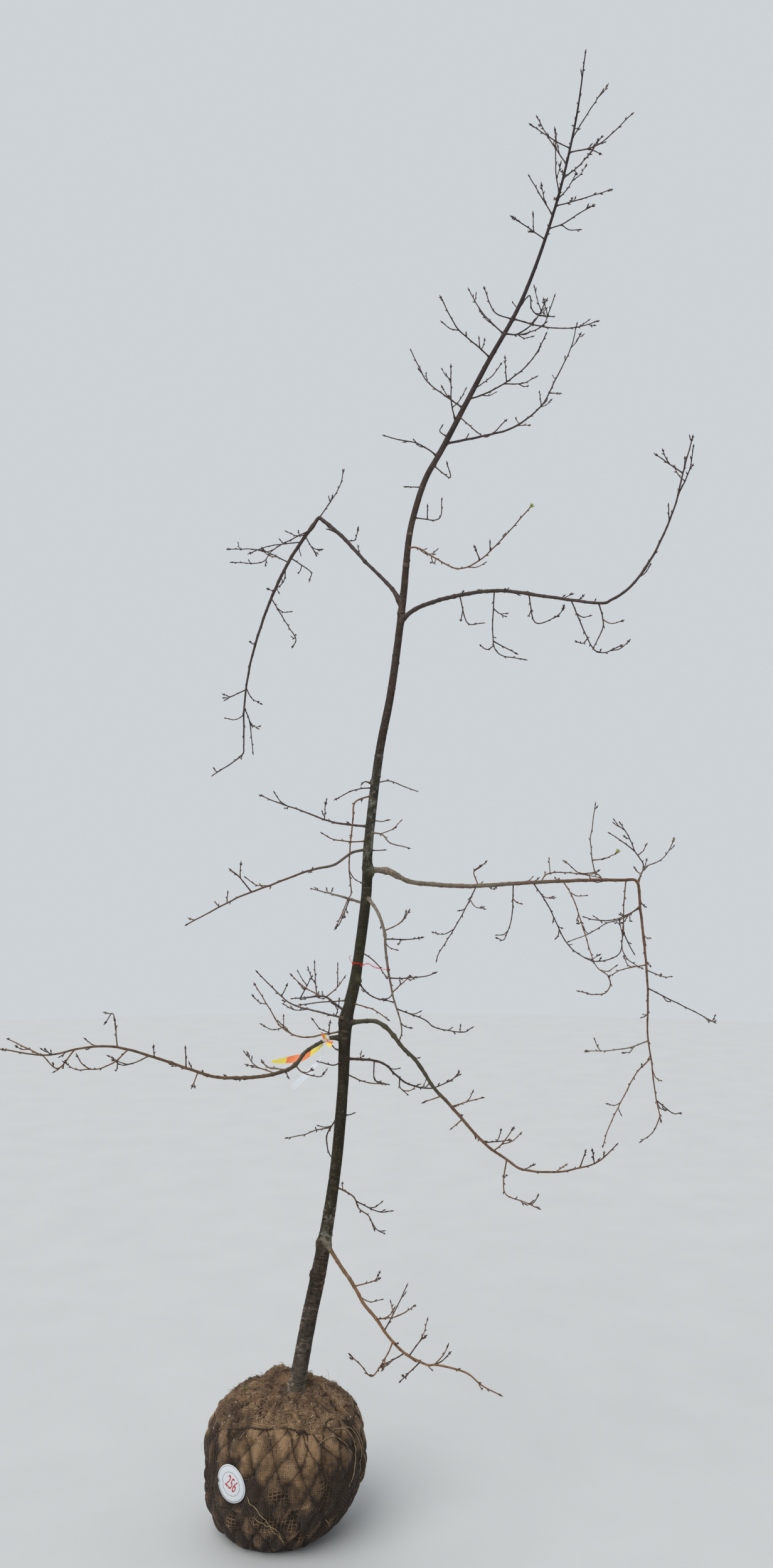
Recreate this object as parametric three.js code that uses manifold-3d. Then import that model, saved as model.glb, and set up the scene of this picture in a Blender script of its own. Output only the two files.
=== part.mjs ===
// A bare young tree lifted for planting, standing on its burlapped root ball.
//
// Millimetres, +Z up. The origin is the centre of the root ball's flat underside.
// A bearing is seen from above: 0 is to the right (+X) and 90 to the back (+Y).
// A pitch is the slope above the horizontal, and one past 90 turns back on the bearing.

import * as THREE from "three";
import { mergeVertices } from "three/addons/utils/BufferGeometryUtils.js";
import Module from "manifold-3d";

const wasm = await Module();
wasm.setup();

// Clearance between two pieces that meet
const SEAT_GAP = 0.3;

// Root ball: its outline from its flat foot to the level seat under the trunk, as height, radius
// and how far the ring lies to the right, and how deep its lumps and pleats are
const BALL = {
  outline: [
    [0, 150, -2],
    [30, 190, 3],
    [80, 224, 12],
    [140, 244, 21],
    [200, 251, 28],
    [260, 250, 30],
    [320, 240, 30],
    [360, 222, 30],
    [395, 190, 27],
    [415, 155, 25],
    [428, 110, 25],
  ],
  sides: 36,
  lumps: 0.014,
  pleats: 0.008,
};
const BALL_HEIGHT = BALL.outline.at(-1)[0];

// Trunk: height, distance to the right of the origin, and diameter. It is cut off level where it
// stands on the root ball, a little above its first row.
const TRUNK = [
  [400, 56, 70],
  [428, 61, 61],
  [455, 66, 55],
  [500, 75, 52],
  [645, 102, 50],
  [765, 128, 50],
  [925, 157, 42],
  [1115, 185, 37],
  [1365, 207, 37],
  [1505, 212, 39],
  [1605, 219, 44],
  [1705, 243, 38],
  [1785, 256, 35],
  [2010, 284, 35],
  [2195, 292, 33],
  [2495, 328, 29],
  [2720, 370, 27],
  [3015, 408, 25],
  [3245, 430, 22],
  [3365, 455, 21],
  [3480, 493, 20],
  [3595, 555, 20],
  [3885, 703, 17],
  [4150, 843, 13.5],
  [4490, 963, 10],
  [4825, 1044, 7.5],
  [5105, 1087, 4],
];
const LEAN_BACK = 1 / 20;
const TRUNK_SIDES = 10;

// Limbs: rings lie about this far apart, and a foot swells into its collar over this length
const BOUGH = { sides: 6, stemSides: 5, step: 60, tip: 1.5, collar: 0.35, collarLength: 22 };
const SHOOT = { stemSides: 3, step: 60, tip: 1.3, collar: 0.5, collarLength: 10 };
const SIDE_TWIG = { sides: 3, step: 90, foot: 2.1, tip: 1.2 };

// Twigs of the seeded rule: spacing and length, angles from the stem, and how they turn up
const RULE = {
  first: 55,
  spacing: [100, 200],
  length: [30, 85],
  turn: [35, 62],
  roll: [45, 125],
  lift: 0.55,
  foot: 1.6,
  tip: 1.0,
  space: 45,
  clear: 3,
  seed: 20417,
};

// Boughs. Each leaves the trunk at a height and along a bearing, and runs in legs of
// [length, pitch] or [length, pitch, new bearing]. Its pieces end at a distance along it: the
// first is the bare limb, and the others are masses of twigs. A side twig is
// [distance along the limb, bearing, legs]. The ones here are those that show from a distance.
const BOUGHS = [
  {
    at: 2965,
    bearing: -38,
    foot: 7.8,
    legs: [
      [85, 24], [150, 7], [180, -2], [200, -14], [175, -14], [45, 7],
      [70, 32, -20], [115, 53], [145, 65], [120, 75], [105, 74],
    ],
    pieces: [["arch_bough", 235], ["arch_twigs", 880], ["arch_tip_twigs"]],
    sides: [
      [260, 20, [95, -73], [55, 2]],
      [395, -70, [140, -96], [85, -60], [85, -15, -10]],
      [530, 30, [95, -74], [95, 18]],
      [690, -60, [185, -59], [65, -30], [80, 6]],
      [795, 200, [70, -102], [80, -64]],
      [1210, 20, [95, 63], [75, 78]],
      [1280, 160, [100, 40]],
    ],
  },
  {
    at: 3017,
    bearing: 150,
    foot: 9,
    legs: [
      [90, 56], [140, 45], [140, 47], [118, 41], [16, 30], [24, -50, 190], [160, -57], [160, -65], [145, -71],
      [135, -76], [145, -83, 205], [125, -90], [45, -75], [120, -35],
    ],
    pieces: [["rising_bough", 330], ["apex_twigs", 530], ["pendant_twigs", 960], ["pendant_tail"]],
    sides: [
      [345, 60, [60, 19], [50, 65]],
      [505, 150, [125, 131], [65, 110]],
      [550, 205, [25, -43], [145, -32], [75, -48], [105, -6]],
      [590, -40, [95, -55]],
      [615, 165, [125, -3], [75, -16]],
      [690, 40, [95, -22], [30, -95]],
      [705, 150, [140, 26], [150, 9]],
      [730, 230, [50, -81], [55, -42]],
      [855, -50, [155, -48], [75, -48], [30, -130]],
      [1200, 150, [75, -17], [25, -2]],
      [1265, -30, [55, -64], [110, -82]],
    ],
  },
  {
    at: 2094,
    bearing: 12,
    foot: 8.5,
    legs: [
      [30, 7], [45, -6], [45, -27], [55, -19], [175, -4, 4], [175, 3], [105, 3], [150, 2],
      [120, 0], [50, -8], [90, -83, -50], [140, -83], [145, -84, -70], [145, -92],
      [85, -76], [105, -79], [95, -70],
    ],
    pieces: [["rail_bough", 370], ["rail_twigs", 935], ["drop_twigs", 1340], ["drop_tail"]],
    sides: [
      [390, 222, [105, -54], [95, -50], [85, -47], [25, -64]],
      [395, -40, [50, 112], [35, 39]],
      [515, 210, [105, -87], [60, -72], [35, -58], [25, 15]],
      [585, -35, [100, -54], [140, -61], [95, -33], [60, 0], [60, 28], [80, 82]],
      [610, 35, [50, 37], [115, 0], [125, -7]],
      [690, -55, [80, -50], [120, -65], [115, -65], [70, -30]],
      [950, 60, [90, 39], [105, 151], [75, 142], [100, 153]],
      [960, -30, [60, 68], [50, 25], [40, 37], [55, 60]],
      [1030, 160, [70, -37], [65, -18], [70, -31], [75, -22]],
      [1042, 215, [120, -17], [90, -1], [60, 11]],
      [1232, 200, [90, -8], [55, -21]],
      [1250, 20, [70, -20], [30, -2]],
      [1315, -20, [70, -26], [95, -25], [75, -27]],
      [1490, 160, [70, -22], [85, -10], [60, -3]],
      [1550, 215, [85, -32], [80, -49], [80, -51], [60, -55], [50, -65]],
      [1690, 25, [80, -35], [30, -5]],
    ],
  },
  {
    at: 3605,
    bearing: 42,
    foot: 4.5,
    legs: [[205, 21], [190, 24], [200, 38], [145, 56], [185, 58], [120, 70]],
    pieces: [["upper_right_bough", 380], ["upper_right_twigs"]],
    sides: [[415, -30, [50, -9]], [595, 100, [65, 70]], [675, -10, [40, -7]]],
  },
  {
    at: 2168,
    bearing: 232,
    foot: 4.6,
    legs: [[90, -9], [95, -24], [130, -9], [190, -14], [125, -14], [105, -19], [120, -20]],
    pieces: [["left_sloping_bough", 260], ["left_sloping_twigs"]],
    sides: [[580, 190, [60, 51], [30, 39]]],
  },
  {
    at: 2011,
    bearing: -62,
    foot: 6,
    legs: [[95, -32], [80, -52], [95, -79], [120, -69], [90, -56], [36, -77], [32, -120]],
    pieces: [["drooping_bough", 160], ["drooping_twigs"]],
    sides: [
      [175, -20, [55, 25], [30, 46]],
      [205, 30, [95, -2], [45, 6]],
      [330, -10, [45, 0], [75, 6], [30, 20]],
      [380, 50, [100, 27]],
      [437, -35, [110, -14], [45, -29], [100, -4], [35, 24]],
    ],
  },
  {
    at: 1587,
    bearing: -25,
    foot: 7.5,
    legs: [
      [95, 7], [50, -16], [45, -42], [45, -48], [75, -41], [90, -56, -10], [85, -46],
      [145, -47], [95, -35], [65, -21, -35], [110, 4], [90, 16], [70, 24], [80, 44],
    ],
    pieces: [["sinking_bough", 420], ["sinking_twigs", 800], ["sinking_tip_twigs"]],
    sides: [
      [440, 200, [60, -15]],
      [485, 20, [65, 12], [45, 9]],
      [535, 220, [50, -26]],
      [640, 40, [85, -4], [35, -5]],
      [676, -60, [60, 34], [80, 45]],
      [725, -40, [75, -100], [40, -72], [60, -8], [60, -11]],
      [990, 30, [50, 64]],
    ],
  },
  {
    at: 1537,
    bearing: 215,
    foot: 8.5,
    legs: [
      [60, 5], [50, -20], [50, -24], [55, -45], [60, -18], [85, -7, 200], [115, 3], [65, 17],
      [100, 21], [90, 21, 212], [85, 18], [75, 7], [65, -4], [90, -6], [125, 12],
    ],
    pieces: [["long_left_bough", 195], ["long_left_twigs", 640], ["long_left_tip_twigs"]],
    sides: [
      [215, -60, [60, -16], [115, 2], [30, 24]],
      [250, 130, [110, -2], [35, 26]],
      [290, 170, [40, 18], [55, 13]],
      [545, 230, [45, -61]],
      [585, 110, [60, 78]],
      [715, 170, [75, -22], [65, 20]],
      [785, 240, [70, -26], [80, -7], [55, 22], [35, 50]],
      [820, 160, [100, 81], [35, -42]],
      [955, 230, [75, -40], [70, 39]],
      [1055, 150, [140, 15]],
    ],
  },
  {
    at: 887,
    bearing: -40,
    foot: 6.8,
    legs: [
      [100, -44], [70, -41], [65, -48], [60, -34], [85, -39], [70, -24], [65, -18, -20],
      [35, 5], [90, -6], [55, -32], [60, -20],
    ],
    pieces: [["lowest_bough", 155], ["lowest_twigs"]],
    sides: [
      [175, 20, [45, 6], [40, 14]],
      [300, -60, [120, 20], [75, 28], [60, 33]],
      [342, 30, [45, 54], [60, 56], [40, 59]],
      [385, 210, [35, -61], [55, -50], [30, -33], [55, 49], [50, 45]],
      [440, 150, [55, -35], [35, -29]],
      [456, 20, [55, 48], [20, 33]],
      [493, 220, [85, -25]],
      [540, 30, [40, 35], [25, 57]],
    ],
  },
];

// Shoots that leave the trunk as masses of their own: height, bearing, foot radius, legs, sides
const SHOOTS = {
  top: [
    [4769, 30, 2.4, [[135, 58], [140, 57]], []],
    [4729, 200, 2.2, [[60, 14], [105, 22]], []],
    [4712, -20, 2.6, [[110, 5], [145, 36]], [[70, 40, [60, 4]]]],
    [4667, 150, 2.4, [[95, 60], [70, 62], [75, 65]], []],
    [4611, 50, 2.8, [[180, 42], [230, 49]], []],
    [4555, 230, 2.3, [[60, 70], [100, 89], [45, 91]], []],
    [4530, 60, 2.4, [[135, 42], [140, 49]], []],
    [4504, 10, 2.5, [[85, 20], [140, 22]], []],
    [4467, 165, 2.4, [[95, 62], [85, 63]], []],
    [4416, -40, 2.4, [[65, -2], [60, 13], [60, 8]], []],
    [4375, 215, 2.2, [[75, 13], [80, 12]], []],
  ],
  upper: [
    [4092, 55, 2.8, [[150, 46], [45, -66], [55, -6], [130, 19]], []],
    [4072, 10, 2.8, [[120, -10], [110, 3], [95, 19]], []],
    [4016, -30, 3, [[55, -13], [70, 26], [80, 55]], [[25, -62, [85, -21], [115, -9], [52, 38], [52, 52]]]],
    [4013, 145, 2.8, [[125, 49], [85, 59], [40, 63]], []],
    [3924, 225, 2.8, [[60, 18], [105, 15], [50, 32], [85, 46]], [[60, 160, [35, 85]]]],
    [3772, -35, 3, [[45, -1], [95, 12], [95, 24], [65, 41], [65, 57]], [[145, 5, [65, 3], [55, 27]]]],
    [3736, 160, 2.8, [[60, 39], [110, 41], [65, 60], [80, 65]], []],
    [3682, 235, 2.6, [[65, 64], [65, 87], [70, 90]], []],
    [3556, 195, 2.8, [[40, 36], [55, 22], [65, 5], [45, 11]], []],
  ],
  middle: [
    [3224, -50, 3, [[55, -11], [115, -31], [115, -27], [100, 4], [115, 25], [150, 31]], [[390, 170, [45, 69]]]],
    [2354, 215, 2.9, [[80, -20], [65, -81], [95, -83], [70, -88], [75, -96], [30, -63], [100, -63]], []],
    [2245, 150, 4, [[150, 7], [145, 18], [100, 17], [80, 20]], []],
    [2225, -45, 3, [[60, -7], [50, -36], [85, -12]], []],
    [1984, 125, 5, [[165, 8], [185, 7]], [[100, 230, [90, -59], [30, -40]]]],
  ],
  lower: [
    [1738, 30, 2.8, [[60, -53], [50, -31], [70, -14]], []],
    [
      1620, 125, 4.4, [[95, 17], [60, 14], [135, -7], [80, -7]],
      [[140, 30, [55, 36], [40, 50]], [175, 170, [70, 28], [55, 42]], [200, 100, [70, 50], [60, 70]], [315, 60, [100, 44]]],
    ],
    [1600, 228, 3.4, [[135, 15], [125, 16], [90, 34], [95, 39]], []],
    [1562, 160, 3, [[80, -12], [80, -9], [80, 21], [85, 53], [90, 55]], [[65, 60, [35, 75]], [205, 120, [105, 17]]]],
    [
      1470, 38, 4.6, [[120, -8], [60, -20], [60, -40], [65, -34], [90, -16], [65, 4], [90, 17]],
      [[125, -30, [60, -90], [20, -28], [35, -9]], [260, -60, [30, -88], [50, -19]]],
    ],
    [1282, 145, 3, [[30, -37], [60, -57], [50, -96], [40, -130]], [[60, 220, [20, 1], [40, -1], [50, -9], [65, -1]]]],
    [1060, 48, 3, [[105, -29], [55, -57], [65, -37], [50, -62]], [[130, -20, [85, -18], [45, 8]]]],
  ],
};

const WOOD = { trunk: 0x6b5e52, bough: 0x7a5a45, twigs: 0x5d4038 };
const BURLAP = 0x8a7358;

const UP = new THREE.Vector3(0, 0, 1);
const group = new THREE.Group();

// A seeded draw between two ends, the same on every run
let seed = RULE.seed;
function draw([low, high]) {
  seed = (Math.imul(seed, 1664525) + 1013904223) >>> 0;
  return low + ((high - low) * seed) / 2 ** 32;
}

function direction(bearing, pitch) {
  const [b, p] = [bearing, pitch].map(THREE.MathUtils.degToRad);
  return new THREE.Vector3(Math.cos(p) * Math.cos(b), Math.cos(p) * Math.sin(b), Math.sin(p));
}

// A path is a smooth line through joints, with the distance run at each of its points.
// Side is a level direction across the path, from which its rings are set out.
function pathThrough(joints, step, bearing) {
  const curve = new THREE.CatmullRomCurve3(joints, false, "catmullrom", 0.5);
  const legs = joints.length - 1;
  const points = [joints[0].clone()];
  for (let leg = 0; leg < legs; leg += 1) {
    const pieces = Math.max(1, Math.round(joints[leg].distanceTo(joints[leg + 1]) / step));
    for (let k = 1; k <= pieces; k += 1) points.push(curve.getPoint((leg + k / pieces) / legs));
  }
  const run = [0];
  for (let i = 1; i < points.length; i += 1) run.push(run[i - 1] + points[i].distanceTo(points[i - 1]));
  const headings = points.map((point, i) => {
    const before = points[i - 1] ?? point;
    const after = points[i + 1] ?? point;
    return after.clone().sub(before).normalize();
  });
  return { points, run, headings, side: direction(bearing + 90, 0) };
}

function limbPath(start, bearing, legs, step) {
  const joints = [start.clone()];
  let heading = bearing;
  for (const [length, pitch, turned] of legs) {
    heading = turned ?? heading;
    joints.push(joints.at(-1).clone().addScaledVector(direction(heading, pitch), length));
  }
  return pathThrough(joints, step, bearing);
}

const lengthOf = (path) => path.run.at(-1);

// The place on a path at a distance along it, and its heading there
function along(path, distance) {
  const last = path.run.length - 1;
  const next = Math.min(last, Math.max(1, path.run.findIndex((d) => d >= distance)));
  const share = (distance - path.run[next - 1]) / (path.run[next] - path.run[next - 1]);
  const [from, to] = [path.points[next - 1], path.points[next]];
  return {
    place: from.clone().lerp(to, share),
    heading: to.clone().sub(from).normalize(),
  };
}

// The stretch of a path between two distances. It keeps the whole path's headings, so that two
// stretches that meet have their end faces parallel.
function stretch(path, from, to) {
  const [first, last] = [along(path, from), along(path, to)];
  const inner = path.run.map((_, i) => i).filter((i) => path.run[i] > from + 4 && path.run[i] < to - 4);
  return {
    points: [first.place, ...inner.map((i) => path.points[i]), last.place],
    run: [from, ...inner.map((i) => path.run[i]), to],
    headings: [first.heading, ...inner.map((i) => path.headings[i]), last.heading],
    side: path.side,
  };
}

function solidOf(geometry) {
  geometry.deleteAttribute("normal");
  geometry.deleteAttribute("uv");
  const merged = mergeVertices(geometry);
  const mesh = new wasm.Mesh({
    numProp: 3,
    vertProperties: merged.attributes.position.array,
    triVerts: new Uint32Array(merged.index.array),
  });
  return new wasm.Manifold(mesh);
}

// A round limb along a path: a unit cylinder whose rings are carried to the path's points
function tube(path, radiusAt, sides) {
  const rings = path.points.length - 1;
  const geometry = new THREE.CylinderGeometry(1, 1, 1, sides, rings);
  const frames = path.points.map((point, i) => {
    const heading = path.headings[i];
    const across = path.side.clone().addScaledVector(heading, -path.side.dot(heading)).normalize();
    return { point, across, above: heading.clone().cross(across), radius: radiusAt(path.run[i]) };
  });
  const position = geometry.attributes.position;
  for (let i = 0; i < position.count; i += 1) {
    const { point, across, above, radius } = frames[Math.round((position.getY(i) + 0.5) * rings)];
    const moved = point
      .clone()
      .addScaledVector(across, -position.getX(i) * radius)
      .addScaledVector(above, position.getZ(i) * radius);
    position.setXYZ(i, moved.x, moved.y, moved.z);
  }
  return solidOf(geometry);
}

// Radius along a limb that tapers to its tip and swells into a collar at its foot
function taper(length, foot, { tip, collar = 0, collarLength = 1 }) {
  return (distance) =>
    THREE.MathUtils.lerp(foot, tip, distance / length) * (1 + collar * Math.exp(-distance / collarLength));
}

function largestBody(solid) {
  return solid.decompose().reduce((best, body) => (body.volume() > best.volume() ? body : best));
}

function addNode(name, solid, colour, roughness) {
  const { vertProperties, triVerts } = solid.getMesh();
  const geometry = new THREE.BufferGeometry();
  geometry.setAttribute("position", new THREE.BufferAttribute(vertProperties, 3));
  geometry.setIndex(new THREE.BufferAttribute(triVerts, 1));
  geometry.computeVertexNormals();
  const mesh = new THREE.Mesh(geometry, new THREE.MeshStandardMaterial({ color: colour, roughness }));
  mesh.name = name;
  group.add(mesh);
}

// What is taken up already, as short round lengths, so that no twig grows into another piece
const taken = [];

function take(path, radiusAt, owner) {
  for (let i = 1; i < path.points.length; i += 1) {
    taken.push({ from: path.points[i - 1], to: path.points[i], radius: radiusAt(path.run[i - 1]), owner });
  }
}

function isFree(path, radius, owner) {
  const probe = new THREE.Vector3();
  const nearest = new THREE.Vector3();
  const line = new THREE.Line3();
  for (let i = 1; i < path.points.length; i += 1) {
    for (let k = 0; k <= 5; k += 1) {
      probe.lerpVectors(path.points[i - 1], path.points[i], k / 5);
      for (const other of taken) {
        if (other.owner === owner) continue;
        line.set(other.from, other.to).closestPointToPoint(probe, true, nearest);
        if (nearest.distanceTo(probe) < radius + other.radius + RULE.clear) return false;
      }
    }
  }
  return true;
}

// Root ball: a bellied bag that leans a little, flat underneath and level under the trunk
function rootBall() {
  const rings = [[0, 0, BALL.outline[0][2]], ...BALL.outline, [BALL_HEIGHT, 0, BALL.outline.at(-1)[2]]];
  const profile = rings.map(([height, radius]) => new THREE.Vector2(radius, height));
  const geometry = new THREE.LatheGeometry(profile, BALL.sides);
  const position = geometry.attributes.position;
  for (let i = 0; i < position.count; i += 1) {
    const [across, height, back] = [position.getZ(i), position.getY(i), position.getX(i)];
    const angle = Math.atan2(back, across);
    const belly = Math.sin((Math.PI * height) / BALL_HEIGHT);
    const lumps = Math.sin(2 * angle + 1) + 0.6 * Math.sin(5 * angle + height / 60);
    const swell = 1 + belly * (BALL.lumps * lumps + BALL.pleats * Math.sin(11 * angle + height / 90));
    const shift = rings[i % rings.length][2];
    position.setXYZ(i, across * swell + shift, back * swell, height);
  }
  addNode("root_ball", solidOf(geometry), BURLAP, 0.95);
}

// Trunk: from its flat cut on the root ball to the tip of the leader
const trunkPlace = ([height, right]) =>
  new THREE.Vector3(right, (height - BALL_HEIGHT) * LEAN_BACK, height);
const trunkPath = pathThrough(TRUNK.map(trunkPlace), 95, 0);
const trunkHeights = trunkPath.points.map((p) => p.z);

function trunkRadius(distance) {
  const height = along(trunkPath, distance).place.z;
  const next = Math.max(1, TRUNK.findIndex(([h]) => h >= height));
  const [[low, , thick], [high, , thin]] = [TRUNK[next - 1], TRUNK[next]];
  return THREE.MathUtils.mapLinear(height, low, high, thick, thin) / 2;
}

function trunkAt(height) {
  const next = trunkHeights.findIndex((h) => h >= height);
  const share = (height - trunkHeights[next - 1]) / (trunkHeights[next] - trunkHeights[next - 1]);
  return trunkPath.points[next - 1].clone().lerp(trunkPath.points[next], share);
}

const levelCut = new THREE.BoxGeometry(400, 400, 200);
levelCut.translate(0, 0, BALL_HEIGHT + SEAT_GAP - 100);
const trunk = tube(trunkPath, trunkRadius, TRUNK_SIDES).subtract(solidOf(levelCut));
const trunkWithGap = tube(trunkPath, (d) => trunkRadius(d) + SEAT_GAP, TRUNK_SIDES);

// Every limb is laid out first, so that each twig knows what lies around it.
const limbs = [];

function layOut(at, bearing, foot, legs, pieces, sides, form) {
  const path = limbPath(trunkAt(at), bearing, legs, form.step);
  const radiusAt = taper(lengthOf(path), foot, form);
  let from = 0;
  const parts = pieces.map(([name, end = lengthOf(path)]) => {
    const part = { name, from, to: end, path: stretch(path, from, end - (end < lengthOf(path) ? SEAT_GAP : 0)), sides: [] };
    from = end;
    return part;
  });
  for (const [distance, sideBearing, ...sideLegs] of sides) {
    const part = parts.find((p) => distance < p.to);
    const side = limbPath(along(path, distance).place, sideBearing, sideLegs, SIDE_TWIG.step);
    part.sides.push(side);
  }
  limbs.push({ parts, radiusAt, form });
}

for (const { at, bearing, foot, legs, pieces, sides } of BOUGHS) {
  layOut(at, bearing, foot, legs, pieces, sides, BOUGH);
}
for (const [zone, shoots] of Object.entries(SHOOTS)) {
  shoots.forEach(([at, bearing, foot, legs, sides], i) => {
    layOut(at, bearing, foot, legs, [[`${zone}_twigs_${i + 1}`]], sides, SHOOT);
  });
}

const sideRadius = (path) => taper(lengthOf(path), SIDE_TWIG.foot, SIDE_TWIG);
take(trunkPath, trunkRadius, "trunk");
for (const { parts, radiusAt } of limbs) {
  for (const { name, path, sides } of parts) {
    take(path, radiusAt, name);
    for (const side of sides) take(side, sideRadius(side), name);
  }
}

// The seeded rule: along a stem a twig leaves to one side, the next one to the other
function ruleTwigs(stem, from, owner, space) {
  const twigs = [];
  let hand = 1;
  for (let d = from + RULE.first; d < stem.run.at(-1) - 15; d += draw(RULE.spacing)) {
    const [length, turn, roll] = [draw(RULE.length), draw(RULE.turn), draw(RULE.roll) * hand].map(
      (value, i) => (i ? THREE.MathUtils.degToRad(value) : value),
    );
    hand = -hand;
    const { place, heading } = along(stem, d);
    const across = stem.side.clone().addScaledVector(heading, -stem.side.dot(heading)).normalize();
    const above = heading.clone().cross(across);
    const out = above.multiplyScalar(Math.cos(roll)).addScaledVector(across, Math.sin(roll));
    const first = heading.clone().multiplyScalar(Math.cos(turn)).addScaledVector(out, Math.sin(turn));
    const second = first.clone().addScaledVector(UP, RULE.lift).normalize();
    const middle = place.clone().addScaledVector(first, length / 2);
    const tip = middle.clone().addScaledVector(second, length / 2);
    const points = [place, middle, tip];
    const headings = [first, first.clone().add(second).normalize(), second];
    const twig = { points, run: [0, length / 2, length], headings, side: stem.side };
    if (!space.containsPoint(tip) || !isFree(twig, RULE.foot, owner)) continue;
    take(twig, () => RULE.foot, owner);
    twigs.push(tube(twig, taper(length, RULE.foot, RULE), SIDE_TWIG.sides));
  }
  return twigs;
}

function mass({ name, path, sides }, radiusAt, form) {
  const space = new THREE.Box3().setFromPoints([...path.points, ...sides.flatMap((s) => s.points)]);
  space.expandByScalar(RULE.space);
  const woods = [tube(path, radiusAt, form.stemSides)];
  woods.push(...ruleTwigs(path, path.run[0], name, space));
  for (const side of sides) {
    woods.push(tube(side, sideRadius(side), SIDE_TWIG.sides));
    woods.push(...ruleTwigs(side, 0, name, space));
  }
  return wasm.Manifold.union(woods);
}

rootBall();
addNode("trunk", trunk, WOOD.trunk, 0.85);
for (const { parts, radiusAt, form } of limbs) {
  for (const part of parts) {
    const isBough = part.name.endsWith("_bough");
    const wood = isBough ? tube(part.path, radiusAt, form.sides) : mass(part, radiusAt, form);
    const fitted = part.from === 0 ? largestBody(wood.subtract(trunkWithGap)) : wood;
    addNode(part.name, fitted, isBough ? WOOD.bough : WOOD.twigs, 0.8);
  }
}

export default group;
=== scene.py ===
"""A bare young tree standing on its burlapped root ball.

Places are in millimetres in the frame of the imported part, +Z up, with the origin at the centre of
the root ball's underside, and every mesh is made in metres. A bearing is seen from above: 0 is to
the right (+X) and 90 to the back (+Y). A pitch is the slope above the horizontal, and one past 90
turns back on the bearing. A leg of a limb is its length and pitch, and its bearing where it turns.
A side twig is its distance along the limb, its bearing and its legs. Colours are linear red, green
and blue. A tint is a colour, with the strength of the bark's flecks where there are any.
"""

import itertools
import math

import bpy
import numpy as np
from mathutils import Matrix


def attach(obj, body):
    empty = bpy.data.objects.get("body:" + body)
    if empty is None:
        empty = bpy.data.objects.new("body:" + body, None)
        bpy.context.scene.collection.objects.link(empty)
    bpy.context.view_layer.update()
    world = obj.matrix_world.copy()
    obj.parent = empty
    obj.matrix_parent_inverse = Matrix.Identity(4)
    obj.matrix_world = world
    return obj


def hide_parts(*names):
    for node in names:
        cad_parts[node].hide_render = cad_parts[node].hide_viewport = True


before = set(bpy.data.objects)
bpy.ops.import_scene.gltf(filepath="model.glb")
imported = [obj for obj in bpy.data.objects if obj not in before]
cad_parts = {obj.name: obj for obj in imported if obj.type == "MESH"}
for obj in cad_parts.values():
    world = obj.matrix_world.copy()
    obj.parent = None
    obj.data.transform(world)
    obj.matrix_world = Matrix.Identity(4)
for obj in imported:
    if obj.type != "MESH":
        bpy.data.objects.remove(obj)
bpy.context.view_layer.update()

MM = 0.001
UP = np.array([0.0, 0.0, 1.0])
chance = np.random.default_rng(7)

# Clearance between the solids of the source where two pieces meet
SEAT_GAP = 0.3

# Root ball: height, radius and how far the ring lies to the right, as in the source
BALL_OUTLINE = [
    [0, 150, -2], [30, 190, 3], [80, 224, 12], [140, 244, 21], [200, 251, 28], [260, 250, 30],
    [320, 240, 30], [360, 222, 30], [395, 190, 27], [415, 155, 25], [428, 110, 25],
]
BALL_LUMPS = 0.014
BALL_PLEATS = 0.008
BALL_HEIGHT = BALL_OUTLINE[-1][0]

# Trunk: height, distance to the right of the origin, and diameter
TRUNK = [
    [400, 56, 70], [428, 61, 61], [455, 66, 55], [500, 75, 52], [645, 102, 50], [765, 128, 50],
    [925, 157, 42], [1115, 185, 37], [1365, 207, 37], [1505, 212, 39], [1605, 219, 44], [1705, 243, 38],
    [1785, 256, 35], [2010, 284, 35], [2195, 292, 33], [2495, 328, 29], [2720, 370, 27], [3015, 408, 25],
    [3245, 430, 22], [3365, 455, 21], [3480, 493, 20], [3595, 555, 20], [3885, 703, 17], [4150, 843, 13.5],
    [4490, 963, 10], [4825, 1044, 7.5], [5105, 1087, 4],
]
LEAN_BACK = 1 / 20

# How each kind of limb tapers and swells into a collar, and how far apart the source's rings lie
BOUGH = {"step": 60, "tip": 1.5, "collar": 0.35, "collar_length": 22}
SHOOT = {"step": 60, "tip": 1.3, "collar": 0.5, "collar_length": 10}
SIDE_TWIG = {"step": 90, "foot": 2.1, "tip": 1.2}

# The source's seeded rule: spacing and length, angles from the stem, and how its twigs turn up
RULE = {
    "first": 55,
    "last": 15,
    "spacing": [100, 200],
    "length": [30, 85],
    "turn": [35, 62],
    "roll": [45, 125],
    "lift": 0.55,
    "foot": 1.6,
    "space": 45,
    "clear": 3,
    "seed": 20417,
}

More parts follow.
